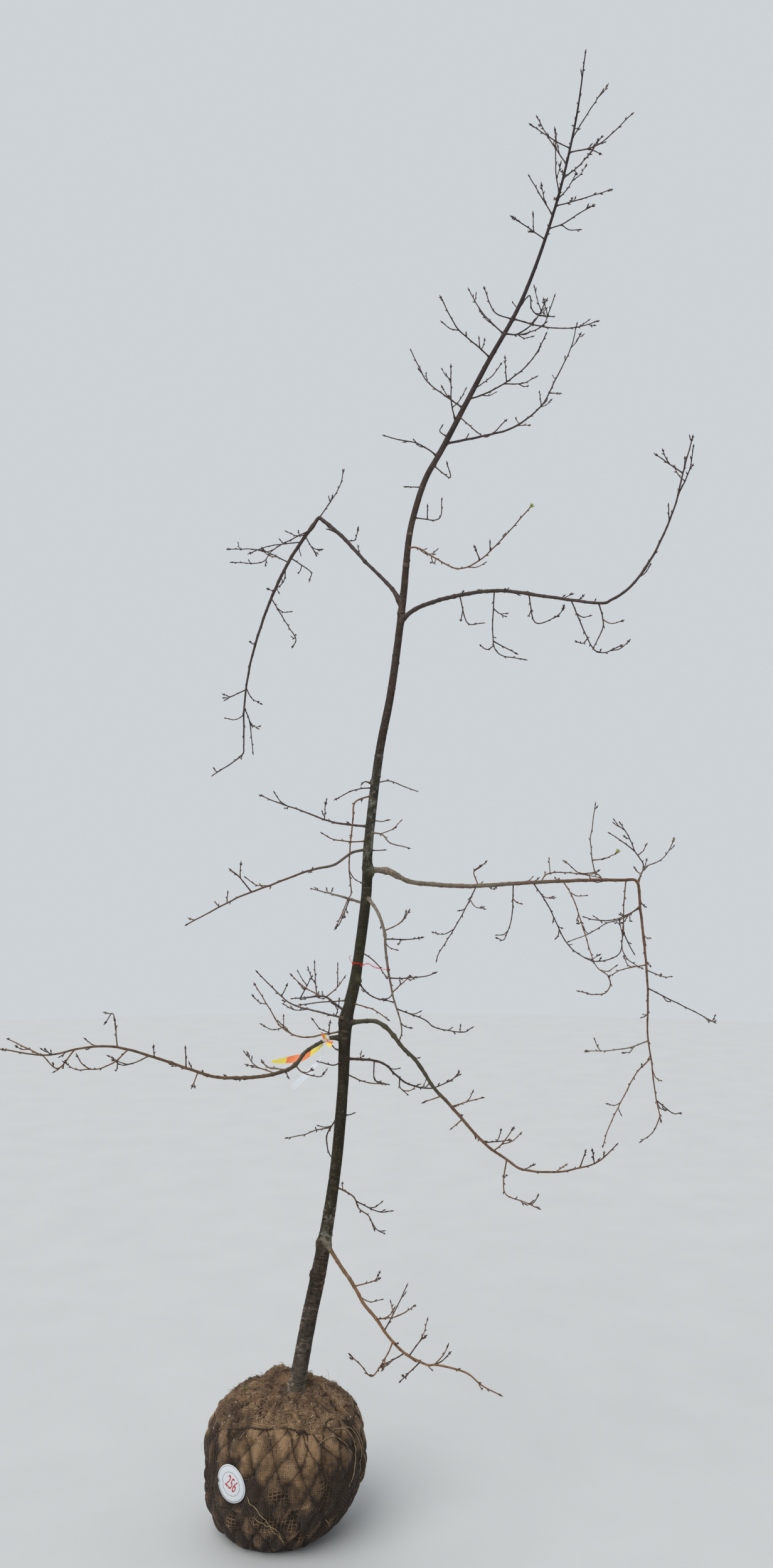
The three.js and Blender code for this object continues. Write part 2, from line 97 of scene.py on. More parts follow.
# Boughs: height on the trunk, bearing, foot, legs, parts and where each ends, and side twigs
BOUGHS = [
    [
        2965, -38, 7.8,
        [
            [85, 24], [150, 7], [180, -2], [200, -14], [175, -14], [45, 7], [70, 32, -20], [115, 53],
            [145, 65], [120, 75], [105, 74],
        ],
        [["arch_bough", 235], ["arch_twigs", 880], ["arch_tip_twigs"]],
        [
            [260, 20, [95, -73], [55, 2]], [395, -70, [140, -96], [85, -60], [85, -15, -10]],
            [530, 30, [95, -74], [95, 18]], [690, -60, [185, -59], [65, -30], [80, 6]],
            [795, 200, [70, -102], [80, -64]], [1210, 20, [95, 63], [75, 78]], [1280, 160, [100, 40]],
        ],
    ],
    [
        3017, 150, 9,
        [
            [90, 56], [140, 45], [140, 47], [118, 41], [16, 30], [24, -50, 190], [160, -57], [160, -65],
            [145, -71], [135, -76], [145, -83, 205], [125, -90], [45, -75], [120, -35],
        ],
        [["rising_bough", 330], ["apex_twigs", 530], ["pendant_twigs", 960], ["pendant_tail"]],
        [
            [345, 60, [60, 19], [50, 65]], [505, 150, [125, 131], [65, 110]],
            [550, 205, [25, -43], [145, -32], [75, -48], [105, -6]], [590, -40, [95, -55]],
            [615, 165, [125, -3], [75, -16]], [690, 40, [95, -22], [30, -95]],
            [705, 150, [140, 26], [150, 9]], [730, 230, [50, -81], [55, -42]],
            [855, -50, [155, -48], [75, -48], [30, -130]], [1200, 150, [75, -17], [25, -2]],
            [1265, -30, [55, -64], [110, -82]],
        ],
    ],
    [
        2094, 12, 8.5,
        [
            [30, 7], [45, -6], [45, -27], [55, -19], [175, -4, 4], [175, 3], [105, 3], [150, 2], [120, 0],
            [50, -8], [90, -83, -50], [140, -83], [145, -84, -70], [145, -92], [85, -76], [105, -79],
            [95, -70],
        ],
        [["rail_bough", 370], ["rail_twigs", 935], ["drop_twigs", 1340], ["drop_tail"]],
        [
            [390, 222, [105, -54], [95, -50], [85, -47], [25, -64]], [395, -40, [50, 112], [35, 39]],
            [515, 210, [105, -87], [60, -72], [35, -58], [25, 15]],
            [585, -35, [100, -54], [140, -61], [95, -33], [60, 0], [60, 28], [80, 82]],
            [610, 35, [50, 37], [115, 0], [125, -7]],
            [690, -55, [80, -50], [120, -65], [115, -65], [70, -30]],
            [950, 60, [90, 39], [105, 151], [75, 142], [100, 153]],
            [960, -30, [60, 68], [50, 25], [40, 37], [55, 60]],
            [1030, 160, [70, -37], [65, -18], [70, -31], [75, -22]],
            [1042, 215, [120, -17], [90, -1], [60, 11]], [1232, 200, [90, -8], [55, -21]],
            [1250, 20, [70, -20], [30, -2]], [1315, -20, [70, -26], [95, -25], [75, -27]],
            [1490, 160, [70, -22], [85, -10], [60, -3]],
            [1550, 215, [85, -32], [80, -49], [80, -51], [60, -55], [50, -65]],
            [1690, 25, [80, -35], [30, -5]],
        ],
    ],
    [
        3605, 42, 4.5, [[205, 21], [190, 24], [200, 38], [145, 56], [185, 58], [120, 70]],
        [["upper_right_bough", 380], ["upper_right_twigs"]],
        [[415, -30, [50, -9]], [595, 100, [65, 70]], [675, -10, [40, -7]]],
    ],
    [
        2168, 232, 4.6, [[90, -9], [95, -24], [130, -9], [190, -14], [125, -14], [105, -19], [120, -20]],
        [["left_sloping_bough", 260], ["left_sloping_twigs"]], [[580, 190, [60, 51], [30, 39]]],
    ],
    [
        2011, -62, 6, [[95, -32], [80, -52], [95, -79], [120, -69], [90, -56], [36, -77], [32, -120]],
        [["drooping_bough", 160], ["drooping_twigs"]],
        [
            [175, -20, [55, 25], [30, 46]], [205, 30, [95, -2], [45, 6]],
            [330, -10, [45, 0], [75, 6], [30, 20]], [380, 50, [100, 27]],
            [437, -35, [110, -14], [45, -29], [100, -4], [35, 24]],
        ],
    ],
    [
        1587, -25, 7.5,
        [
            [95, 7], [50, -16], [45, -42], [45, -48], [75, -41], [90, -56, -10], [85, -46], [145, -47],
            [95, -35], [65, -21, -35], [110, 4], [90, 16], [70, 24], [80, 44],
        ],
        [["sinking_bough", 420], ["sinking_twigs", 800], ["sinking_tip_twigs"]],
        [
            [440, 200, [60, -15]], [485, 20, [65, 12], [45, 9]], [535, 220, [50, -26]],
            [640, 40, [85, -4], [35, -5]], [676, -60, [60, 34], [80, 45]],
            [725, -40, [75, -100], [40, -72], [60, -8], [60, -11]], [990, 30, [50, 64]],
        ],
    ],
    [
        1537, 215, 8.5,
        [
            [60, 5], [50, -20], [50, -24], [55, -45], [60, -18], [85, -7, 200], [115, 3], [65, 17],
            [100, 21], [90, 21, 212], [85, 18], [75, 7], [65, -4], [90, -6], [125, 12],
        ],
        [["long_left_bough", 195], ["long_left_twigs", 640], ["long_left_tip_twigs"]],
        [
            [215, -60, [60, -16], [115, 2], [30, 24]], [250, 130, [110, -2], [35, 26]],
            [290, 170, [40, 18], [55, 13]], [545, 230, [45, -61]], [585, 110, [60, 78]],
            [715, 170, [75, -22], [65, 20]], [785, 240, [70, -26], [80, -7], [55, 22], [35, 50]],
            [820, 160, [100, 81], [35, -42]], [955, 230, [75, -40], [70, 39]], [1055, 150, [140, 15]],
        ],
    ],
    [
        887, -40, 6.8,
        [
            [100, -44], [70, -41], [65, -48], [60, -34], [85, -39], [70, -24], [65, -18, -20], [35, 5],
            [90, -6], [55, -32], [60, -20],
        ],
        [["lowest_bough", 155], ["lowest_twigs"]],
        [
            [175, 20, [45, 6], [40, 14]], [300, -60, [120, 20], [75, 28], [60, 33]],
            [342, 30, [45, 54], [60, 56], [40, 59]],
            [385, 210, [35, -61], [55, -50], [30, -33], [55, 49], [50, 45]],
            [440, 150, [55, -35], [35, -29]], [456, 20, [55, 48], [20, 33]], [493, 220, [85, -25]],
            [540, 30, [40, 35], [25, 57]],
        ],
    ],
]

# Shoots on the trunk: height, bearing, foot, legs and side twigs
SHOOTS = {
    "top": [
        [4769, 30, 2.4, [[135, 58], [140, 57]]], [4729, 200, 2.2, [[60, 14], [105, 22]]],
        [4712, -20, 2.6, [[110, 5], [145, 36]], [70, 40, [60, 4]]],
        [4667, 150, 2.4, [[95, 60], [70, 62], [75, 65]]], [4611, 50, 2.8, [[180, 42], [230, 49]]],
        [4555, 230, 2.3, [[60, 70], [100, 89], [45, 91]]], [4530, 60, 2.4, [[135, 42], [140, 49]]],
        [4504, 10, 2.5, [[85, 20], [140, 22]]], [4467, 165, 2.4, [[95, 62], [85, 63]]],
        [4416, -40, 2.4, [[65, -2], [60, 13], [60, 8]]], [4375, 215, 2.2, [[75, 13], [80, 12]]],
    ],
    "upper": [
        [4092, 55, 2.8, [[150, 46], [45, -66], [55, -6], [130, 19]]],
        [4072, 10, 2.8, [[120, -10], [110, 3], [95, 19]]],
        [4016, -30, 3, [[55, -13], [70, 26], [80, 55]], [25, -62, [85, -21], [115, -9], [52, 38], [52, 52]]],
        [4013, 145, 2.8, [[125, 49], [85, 59], [40, 63]]],
        [3924, 225, 2.8, [[60, 18], [105, 15], [50, 32], [85, 46]], [60, 160, [35, 85]]],
        [3772, -35, 3, [[45, -1], [95, 12], [95, 24], [65, 41], [65, 57]], [145, 5, [65, 3], [55, 27]]],
        [3736, 160, 2.8, [[60, 39], [110, 41], [65, 60], [80, 65]]],
        [3682, 235, 2.6, [[65, 64], [65, 87], [70, 90]]],
        [3556, 195, 2.8, [[40, 36], [55, 22], [65, 5], [45, 11]]],
    ],
    "middle": [
        [
            3224, -50, 3, [[55, -11], [115, -31], [115, -27], [100, 4], [115, 25], [150, 31]],
            [390, 170, [45, 69]],
        ],
        [2354, 215, 2.9, [[80, -20], [65, -81], [95, -83], [70, -88], [75, -96], [30, -63], [100, -63]]],
        [2245, 150, 4, [[150, 7], [145, 18], [100, 17], [80, 20]]],
        [2225, -45, 3, [[60, -7], [50, -36], [85, -12]]],
        [1984, 125, 5, [[165, 8], [185, 7]], [100, 230, [90, -59], [30, -40]]],
    ],
    "lower": [
        [1738, 30, 2.8, [[60, -53], [50, -31], [70, -14]]],
        [
            1620, 125, 4.4, [[95, 17], [60, 14], [135, -7], [80, -7]], [140, 30, [55, 36], [40, 50]],
            [175, 170, [70, 28], [55, 42]], [200, 100, [70, 50], [60, 70]], [315, 60, [100, 44]],
        ],
        [1600, 228, 3.4, [[135, 15], [125, 16], [90, 34], [95, 39]]],
        [
            1562, 160, 3, [[80, -12], [80, -9], [80, 21], [85, 53], [90, 55]], [65, 60, [35, 75]],
            [205, 120, [105, 17]],
        ],
        [
            1470, 38, 4.6, [[120, -8], [60, -20], [60, -40], [65, -34], [90, -16], [65, 4], [90, 17]],
            [125, -30, [60, -90], [20, -28], [35, -9]], [260, -60, [30, -88], [50, -19]],
        ],
        [
            1282, 145, 3, [[30, -37], [60, -57], [50, -96], [40, -130]],
            [60, 220, [20, 1], [40, -1], [50, -9], [65, -1]],
        ],
        [1060, 48, 3, [[105, -29], [55, -57], [65, -37], [50, -62]], [130, -20, [85, -18], [45, 8]]],
    ],
}

# Shoots that the source leaves out, in the same way
SMALL_SHOOTS = {
    "top": [],
    "upper": [
        [4070, 200, 2.4, [[66, 10], [43, 55], [51, 68]]], [3805, 60, 2.4, [[187, 34], [115, 43]]],
        [3628, 170, 2.2, [[38, 38], [19, 111]]], [3706, -60, 2.4, [[181, -39], [61, -12], [83, 14]]],
        [3527, -45, 2.4, [[103, -39], [53, 103]]], [3445, 150, 2.2, [[67, 11]]],
        [3334, 20, 2.4, [[97, 3], [70, 80]], [54, -20, [45, 89]]],
    ],
    "middle": [
        [2394, 50, 2.4, [[78, 9], [70, -11], [83, -10]]], [2379, 150, 2.4, [[81, -4], [79, -21]]],
        [2196, 200, 2.4, [[69, -2], [61, 8], [37, 27]]], [2388, 185, 3.4, [[34, 20], [12, -30]]],
        [2268, -20, 2.0, [[40, -8], [22, 10]]], [2165, -10, 2.0, [[34, -2], [20, 4]]],
    ],
    "lower": [
        [1826, 60, 2.4, [[115, -23], [98, -37]]], [1662, 170, 2.2, [[103, -5], [70, -8]]],
        [1428, 60, 2.6, [[79, -24], [91, -18], [123, -11]]], [1655, -30, 2.4, [[95, -12], [60, -28]]],
        [1493, 200, 3.2, [[30, 18], [10, 40]]], [1466, 215, 2.4, [[42, -20], [60, 16]]],
        [1287, -10, 2.0, [[28, 2], [14, 20]]],
    ],
}

# Twigs on boughs that the source leaves out: bough, where the twig starts, bearing and legs
SMALL_TWIGS = [
    ["arch", [701, -97, 2843], -10, [84, -30]], ["rail", [1212, 157, 2164], 180, [72, 37], [33, 32]],
    ["rail", [1267, 75, 1273], 190, [54, -63], [51, -35]],
    [
        "rail", [1185, 170, 2064], 100, [88, -74], [55, -86], [36, -85], [54, -72], [30, -76, 20],
        [32, -50], [29, -31], [30, -27],
    ],
    ["rail", [1179, 202, 1883], -30, [44, -65], [33, -60]],
    ["rail", [1082, -19, 1752], 215, [29, -109], [27, -57], [23, -19], [47, 1], [29, 13], [31, 13]],
    [
        "rail", [1100, 164, 2065], 165, [20, 58], [17, 32], [44, 78], [44, 85], [33, 87], [38, 101],
        [25, 96], [52, 99],
    ],
    ["rail", [1077, 170, 2090], 200, [47, -4], [22, 11], [40, 39], [13, 34]],
    ["rail", [1067, 173, 2135], -20, [25, 4], [26, 12], [16, 27], [19, 18], [6, 57]],
]


# Paths and places
def unit(vectors):
    return vectors / np.linalg.norm(vectors, axis=-1, keepdims=True)


def direction(bearing, pitch):
    b, p = math.radians(bearing), math.radians(pitch)
    return np.array([math.cos(p) * math.cos(b), math.cos(p) * math.sin(b), math.sin(p)])


def square_to(headings, side):
    """The level and the upper directions square to headings."""
    across = unit(side - headings * (headings @ side)[..., None])
    return across, np.cross(headings, across)


def circle(sides):
    return np.arange(sides) * 2 * math.pi / sides


def spokes(across, above, turns):
    """Directions turned from across towards above."""
    turns = np.asarray(turns)[..., None]
    return across * np.cos(turns) + above * np.sin(turns)


class Path:
    """A line through points, with the distance run, the heading at each, and a level side."""

    def __init__(self, points, side, run=None):
        self.points = np.array(points, float)
        steps = np.linalg.norm(np.diff(self.points, axis=0), axis=1)
        self.run = np.concatenate([[0.0], np.cumsum(steps)]) if run is None else np.array(run)
        before = np.vstack([self.points[:1], self.points[:-1]])
        after = np.vstack([self.points[1:], self.points[-1:]])
        self.headings = unit(after - before)
        self.side = side

    @property
    def end(self):
        return self.run[-1]

    def at(self, distance):
        """The place at a distance along the path, and the heading there."""
        after = int(np.clip(np.searchsorted(self.run, distance), 1, len(self.run) - 1))
        low, high = self.run[after - 1], self.run[after]
        start, end = self.points[after - 1], self.points[after]
        return start + (end - start) * (distance - low) / (high - low), unit(end - start)

    def places(self, distances):
        """The places at one or several distances, and smooth headings there."""
        found = [np.interp(distances, self.run, line) for line in (*self.points.T, *self.headings.T)]
        return np.stack(found[:3], -1), unit(np.stack(found[3:], -1))

    def frames(self, distances):
        """The places, the headings, and the level and upper sides at one or several distances."""
        places, headings = self.places(distances)
        return places, headings, *square_to(headings, self.side)

    def nearest(self, place):
        return self.points[np.argmin(np.linalg.norm(self.points - place, axis=1))]

    def part(self, start, end):
        """The stretch of the path between two distances, without points that crowd its ends."""
        inner = (self.run > start + 4) & (self.run < end - 4)
        points = [self.at(start)[0], *self.points[inner], self.at(end)[0]]
        return Path(points, self.side, [start, *self.run[inner], end])


def path_through(joints, step, bearing=0):
    """A smooth line through joints, in pieces of about one step."""
    joints = np.array(joints, float)
    ends = np.vstack([2 * joints[0] - joints[1], joints, 2 * joints[-1] - joints[-2]])
    points = [joints[0]]
    for before, start, end, after in zip(ends, ends[1:], ends[2:], ends[3:]):
        out, into = (end - before) / 2, (after - start) / 2
        bend = 3 * (end - start) - 2 * out - into
        twist = 2 * (start - end) + out + into
        pieces = max(1, math.floor(math.dist(start, end) / step + 0.5))
        for share in np.arange(1, pieces + 1) / pieces:
            points.append(start + share * (out + share * (bend + share * twist)))
    return Path(points, direction(bearing + 90, 0))


def limb_path(start, bearing, legs, step):
    """The line of a limb through the joints of its legs. Its level side comes from its first bearing."""
    side_bearing = bearing
    joints = [np.array(start, float)]
    for length, pitch, *other in legs:
        bearing = other[0] if other else bearing
        joints.append(joints[-1] + length * direction(bearing, pitch))
    return path_through(joints, step, side_bearing)


def taper(length, foot, form):
    """Radius along a limb that tapers to its tip and swells into a collar at its foot."""

    def radius(distance):
        collar = form.get("collar", 0) * np.exp(-distance / form.get("collar_length", 1))
        return (foot + (form["tip"] - foot) * distance / length) * (1 + collar)

    return radius


def lattice(cells, seed):
    """A number from -1 to 1 that is always the same for the same whole-numbered cell."""
    mixed = cells[..., 0] * 73856093 ^ cells[..., 1] * 19349663 ^ cells[..., 2] * 83492791
    mixed = (mixed ^ seed * 2654435761) & 0xFFFFFFFF
    mixed = (mixed ^ mixed >> 15) * 2246822519 & 0xFFFFFFFF
    mixed = (mixed ^ mixed >> 13) * 3266489917 & 0xFFFFFFFF
    return ((mixed ^ mixed >> 16) & 0xFFFFFF) / 0x7FFFFF - 1


def ease(share):
    return share * share * (3 - 2 * share)


def noise(points, size, seed):
    """Smooth random lumps from -1 to 1, of the given size, or of one along each axis."""
    grid = points / np.asarray(size, float)
    cell = np.floor(grid).astype(np.int64)
    share = ease(grid - cell)
    total = np.zeros(points.shape[:-1])
    for corner in itertools.product((0, 1), repeat=3):
        weight = np.prod(np.where(corner, share, 1 - share), axis=-1)
        total += weight * lattice(cell + np.array(corner), seed)
    return total


def blend(low, high, share):
    """From one value or colour to another, by a share for each point."""
    low, high, share = (np.asarray(v, float) for v in (low, high, share))
    if low.ndim or high.ndim:
        share = share[..., None]
    return low + (high - low) * share


def ramp(values, start, end):
    """0 at start and 1 at end, smoothly between."""
    return ease(np.clip((values - start) / (end - start), 0, 1))


def band(values, rising, falling):
    """1 between a rising and a falling ramp, and 0 beyond them."""
    return ramp(values, *rising) * ramp(values, *falling)


def bell(values, width):
    """1 where a value is 0, and falling off smoothly within the width on either side."""
    return np.exp(-((values / width) ** 2))


def window(aside, away, wide, tall):
    """A bell in two directions."""
    return np.exp(-((aside / wide) ** 2) - (away / tall) ** 2)


# Meshes
class Shape:
    """Gathers the points and faces of one piece, with a tint for each point and a finish for each face."""

    def __init__(self, smooth=True):
        self.smooth = smooth
        self.points, self.tints = [], []
        self.faces = {4: [], 3: []}
        self.finishes = {4: [], 3: []}
        self.count = 0

    def add(self, points, quads=(), triangles=(), tint=(0, 0, 0), finish=0, end_finish=None):
        points, tint = np.reshape(points, (-1, 3)), np.atleast_2d(tint)
        tint = np.column_stack([tint, np.zeros((len(tint), 4 - tint.shape[1]))])
        self.points.append(points)
        self.tints.append(np.broadcast_to(tint, (len(points), 4)))
        end_finish = finish if end_finish is None else end_finish
        for corners, faces, used in ((4, quads, finish), (3, triangles, end_finish)):
            faces = np.reshape(faces, (-1, corners)).astype(int)
            self.faces[corners].append(faces + self.count)
            self.finishes[corners].append(np.broadcast_to(used, len(faces)))
        self.count += len(points)

    def piece(self, name, finishes, slot, *nodes):
        """Makes the piece, in metres. It rides on the root and stands for the nodes."""
        quads, triangles = (np.concatenate(self.faces[corners]) for corners in (4, 3))
        corners = np.repeat([4, 3], [len(quads), len(triangles)])
        points = np.concatenate(self.points) * MM
        mesh = bpy.data.meshes.new(name)
        mesh.vertices.add(len(points))
        mesh.vertices.foreach_set("co", points.ravel())
        mesh.loops.add(corners.sum())
        mesh.loops.foreach_set("vertex_index", np.concatenate([quads.ravel(), triangles.ravel()]))
        mesh.polygons.add(len(corners))
        mesh.polygons.foreach_set("loop_start", np.cumsum(corners) - corners)
        mesh.polygons.foreach_set("material_index", np.concatenate(self.finishes[4] + self.finishes[3]))
        mesh.polygons.foreach_set("use_smooth", np.full(len(corners), self.smooth))
        layer = mesh.attributes.new("tint", "FLOAT_COLOR", "POINT")
        layer.data.foreach_set("color", np.concatenate(self.tints).ravel())
        mesh.update(calc_edges=True)
        for finish in finishes:
            mesh.materials.append(finish)
        made = bpy.data.objects.new(name, mesh)
        bpy.context.scene.collection.objects.link(made)
        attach(made, "root")
        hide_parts(*nodes)
        print(name, len(quads) * 2 + len(triangles), "triangles")


def ring_faces(rings, sides):
    """Quads between neighbouring rings of points."""
    ring = np.arange(rings - 1)[:, None] * sides
    side = np.arange(sides)
    after = (side + 1) % sides
    corners = [ring + side, ring + after, ring + sides + after, ring + sides + side]
    return np.stack(corners, -1).reshape(-1, 4)


def closed_tube(rings):
    """Points and faces of a tube through rings of points, with a fan over each end."""
    count, sides = rings.shape[:2]
    side = np.arange(sides)
    after = (side + 1) % sides
    last = (count - 1) * sides
    foot, tip = np.full(sides, count * sides), np.full(sides, count * sides + 1)
    points = np.vstack([rings.reshape(-1, 3), rings[0].mean(0), rings[-1].mean(0)])
    fans = np.vstack([np.stack([after, side, foot], -1), np.stack([last + side, last + after, tip], -1)])
    return points, ring_faces(count, sides), fans


def add_tinted_tube(shape, rings, tint):
    """A closed tube with a tint for each of its points."""
    whole = np.vstack([tint.reshape(-1, tint.shape[-1]), tint[0, :1], tint[-1, :1]])
    shape.add(*closed_tube(rings), whole)


# Growth of the limbs
def nodes_along(path, first, gap, last=5.0):
    """Distances of the nodes along a stem, at random gaps."""
    count = int((path.end - path.run[0]) / gap[0]) + 2
    nodes = path.run[0] + first + np.cumsum(chance.uniform(*gap, count))
    return nodes[nodes < path.end - last]


def at_nodes(path, nodes, turns, kink, radii):
    """The place, heading and outward direction of each node, and the radius there."""
    places, headings, across, above = path.frames(nodes)
    out = spokes(across, above, turns)
    return places + out * kink, headings, out, radii


# Turn from one leaf's node to the next
NODE_TURN = math.radians(144)
# Limbs with so many sides or more are lumpy
LUMPY_SIDES = 9


def grow(shape, path, radius, sides, step, nodes, kink, knob, bark=None, finish=0):
    """A stem that turns and swells a little at each node.

    Returns the place, heading, outward direction and radius at each node. The bark gives a tint for
    points, from how far along they are and their places.
    """
    start, end = path.run[0], path.end
    distances = np.linspace(start, end, max(3, round((end - start) / step) + 1))
    turns = chance.uniform(0, 2 * math.pi) + np.arange(len(nodes)) * NODE_TURN
    stations = np.concatenate([[start], nodes, [end]])
    sways = np.zeros((len(stations), 2))
    sways[1:-1] = kink * np.column_stack([np.cos(turns), np.sin(turns)])
    sway = np.column_stack([np.interp(distances, stations, sways[:, k]) for k in (0, 1)])
    places, _, across, above = path.frames(distances)
    shift = across * sway[:, :1] + above * sway[:, 1:]
    swelling = bell(distances[:, None] - nodes, 1.6 + 0.35 * radius(nodes)).sum(1)
    radii = radius(distances) * (1 + knob * np.minimum(swelling, 1))
    out = spokes(across[:, None], above[:, None], circle(sides))
    rings = (places + shift)[:, None] + out * radii[:, None, None]
    if sides >= LUMPY_SIDES:
        middles = rings.mean(1, keepdims=True)
        rings = middles + (rings - middles) * (1 + 0.045 * noise(rings, 7, 3)[..., None])
    points, quads, fans = closed_tube(rings)
    tint = (0, 0, 0)
    if bark:
        tint = bark(np.append(np.repeat(distances - start, sides), [0, end - start]), points)
    shape.add(points, quads, fans, tint, finish)
    return at_nodes(path, nodes, turns, kink, radius(nodes))


# A bud's outline from its foot to its tip, with the steps of its scales: share of length and of width
BUD = [(0, 0.5), (0.16, 0.95), (0.36, 1.0), (0.42, 0.84), (0.66, 0.66), (1, 0.06)]
BUD_SIDES = 5


class Buds:
    """Gathers buds, each a place, a direction, a length, a width and a finish."""

    def __init__(self):
        self.kept = []

    def add(self, place, way, length, width, finish):
        self.kept.append((*place, *unit(np.asarray(way, float)), length, width, finish))

    def piece(self, name, *nodes):
        kept = np.array(self.kept)
        place, way, length, width = kept[:, 0:3], kept[:, 3:6], kept[:, 6], kept[:, 7]
        aside = unit(np.cross(way, np.roll(way, 1, axis=1) + 0.01))
        above = np.cross(way, aside)
        rings = []
        for index, (share, size) in enumerate(BUD):
            angles = (np.arange(BUD_SIDES) + index / 2) * 2 * math.pi / BUD_SIDES
            out = spokes(aside[:, None], above[:, None], angles)
            middle = place + way * (share * length)[:, None]
            rings.append(middle[:, None] + out * (size * width / 2)[:, None, None])
        shape = Shape()
        for bud, finish in zip(np.stack(rings, 1), kept[:, 8]):
            shape.add(*closed_tube(bud), finish=int(finish))
        shape.piece(name, bud_finishes, "twigs", *nodes)


# The layout of the source, with its seeded rule
taken = []


def draw(low, high):
    RULE["seed"] = (RULE["seed"] * 1664525 + 1013904223) % 2**32
    return low + (high - low) * RULE["seed"] / 2**32


def take(path, radius, owner):
    for start, end, run in zip(path.points, path.points[1:], path.run):
        taken.append((*start, *end, radius(run), owner))


def is_free(points, radius, owner):
    """Whether a twig keeps clear of every limb of another owner."""
    others = np.array([other[:7] for other in taken if other[7] != owner])
    starts, lines, girths = others[:, :3], others[:, 3:6] - others[:, :3], others[:, 6]
    for start, end in zip(points, points[1:]):
        for share in np.arange(6) / 5:
            away = start + (end - start) * share - starts
            along = np.clip((away * lines).sum(1) / (lines**2).sum(1), 0, 1)
            gaps = np.linalg.norm(away - lines * along[:, None], axis=1)
            if (gaps < radius + girths + RULE["clear"]).any():
                return False
    return True


def rule_twigs(stem, start, owner, low, high):
    """The source's short twigs on a stem, each as three places."""
    twigs = []
    hand = 1
    distance = start + RULE["first"]
    while distance < stem.end - RULE["last"]:
        length, turn, roll = draw(*RULE["length"]), draw(*RULE["turn"]), draw(*RULE["roll"]) * hand
        turn, roll = math.radians(turn), math.radians(roll)
        hand = -hand
        place, heading = stem.at(distance)
        across, above = square_to(heading, stem.side)
        first = turned(heading, above * math.cos(roll) + across * math.sin(roll), turn)
        middle = place + first * length / 2
        twig = [place, middle, middle + unit(first + UP * RULE["lift"]) * length / 2]
        if (low <= twig[2]).all() and (twig[2] <= high).all() and is_free(twig, RULE["foot"], owner):
            take(Path(twig, stem.side), lambda run: RULE["foot"], owner)
            twigs.append(twig)
        distance += draw(*RULE["spacing"])
    return twigs


def turned(heading, out, angle):
    return heading * math.cos(angle) + out * math.sin(angle)


def trunk_radius(heights):
    rows = np.array(TRUNK)
    return np.interp(heights, rows[:, 0], rows[:, 2] / 2)


def height_on(line, height):
    return np.array([np.interp(height, line.points[:, 2], line.points[:, k]) for k in range(3)])


FINE_STEP = 6
trunk_joints = [[right, (height - BALL_HEIGHT) * LEAN_BACK, height] for height, right, _ in TRUNK]
source_trunk = path_through(trunk_joints, 95)
trunk_line = path_through(trunk_joints, FINE_STEP)


def lay_out(at, bearing, foot, legs, pieces, sides, form):
    """A limb with its side twigs, cut into the source's parts, and the same limb in finer steps."""
    path = limb_path(height_on(source_trunk, at), bearing, legs, form["step"])
    stem = limb_path(height_on(trunk_line, at), bearing, legs, FINE_STEP)
    parts, start = [], 0.0
    for name, *end in pieces:
        end = end[0] if end else path.end
        seat = SEAT_GAP if end < path.end else 0
        parts.append({"name": name, "to": end, "path": path.part(start, end - seat), "sides": []})
        start = end
    for distance, side_bearing, *side_legs in sides:
        part = next(p for p in parts if distance < p["to"])
        place = path.at(distance)[0]
        side = limb_path(place, side_bearing, side_legs, SIDE_TWIG["step"])
        side.fine = limb_path(stem.nearest(place), side_bearing, side_legs, FINE_STEP)
        part["sides"].append(side)
    return {"stem": stem, "radius": taper(stem.end, foot, form), "foot": foot, "parts": parts, "twigs": []}


def lay_out_shoots(rows, names):
    return [lay_out(*row[:4], [[name]], row[4:], SHOOT) for row, name in zip(rows, names)]


def part_twigs(part, stem):
    """Pairs of a fine stem and one of the source's short twigs on it."""
    name, path, sides = part["name"], part["path"], part["sides"]
    if name.endswith("_bough"):
        return []
    corners = np.vstack([path.points, *(side.points for side in sides)])
    room = corners.min(0) - RULE["space"], corners.max(0) + RULE["space"]
    grown = [(stem, twig) for twig in rule_twigs(path, path.run[0], name, *room)]
    for side in sides:
        grown += [(side.fine, twig) for twig in rule_twigs(side, 0, name, *room)]
    return grown


boughs = {row[4][0][0].removesuffix("_bough"): lay_out(*row, BOUGH) for row in BOUGHS}
zones = {
    zone: lay_out_shoots(rows, [f"{zone}_twigs_{number}" for number in range(1, len(rows) + 1)])
    for zone, rows in SHOOTS.items()
}
small_shoots = {zone: lay_out_shoots(rows, [zone] * len(rows)) for zone, rows in SMALL_SHOOTS.items()}
shoots = list(itertools.chain(*zones.values()))
small_limbs = list(itertools.chain(*small_shoots.values()))
limbs = [*boughs.values(), *shoots]
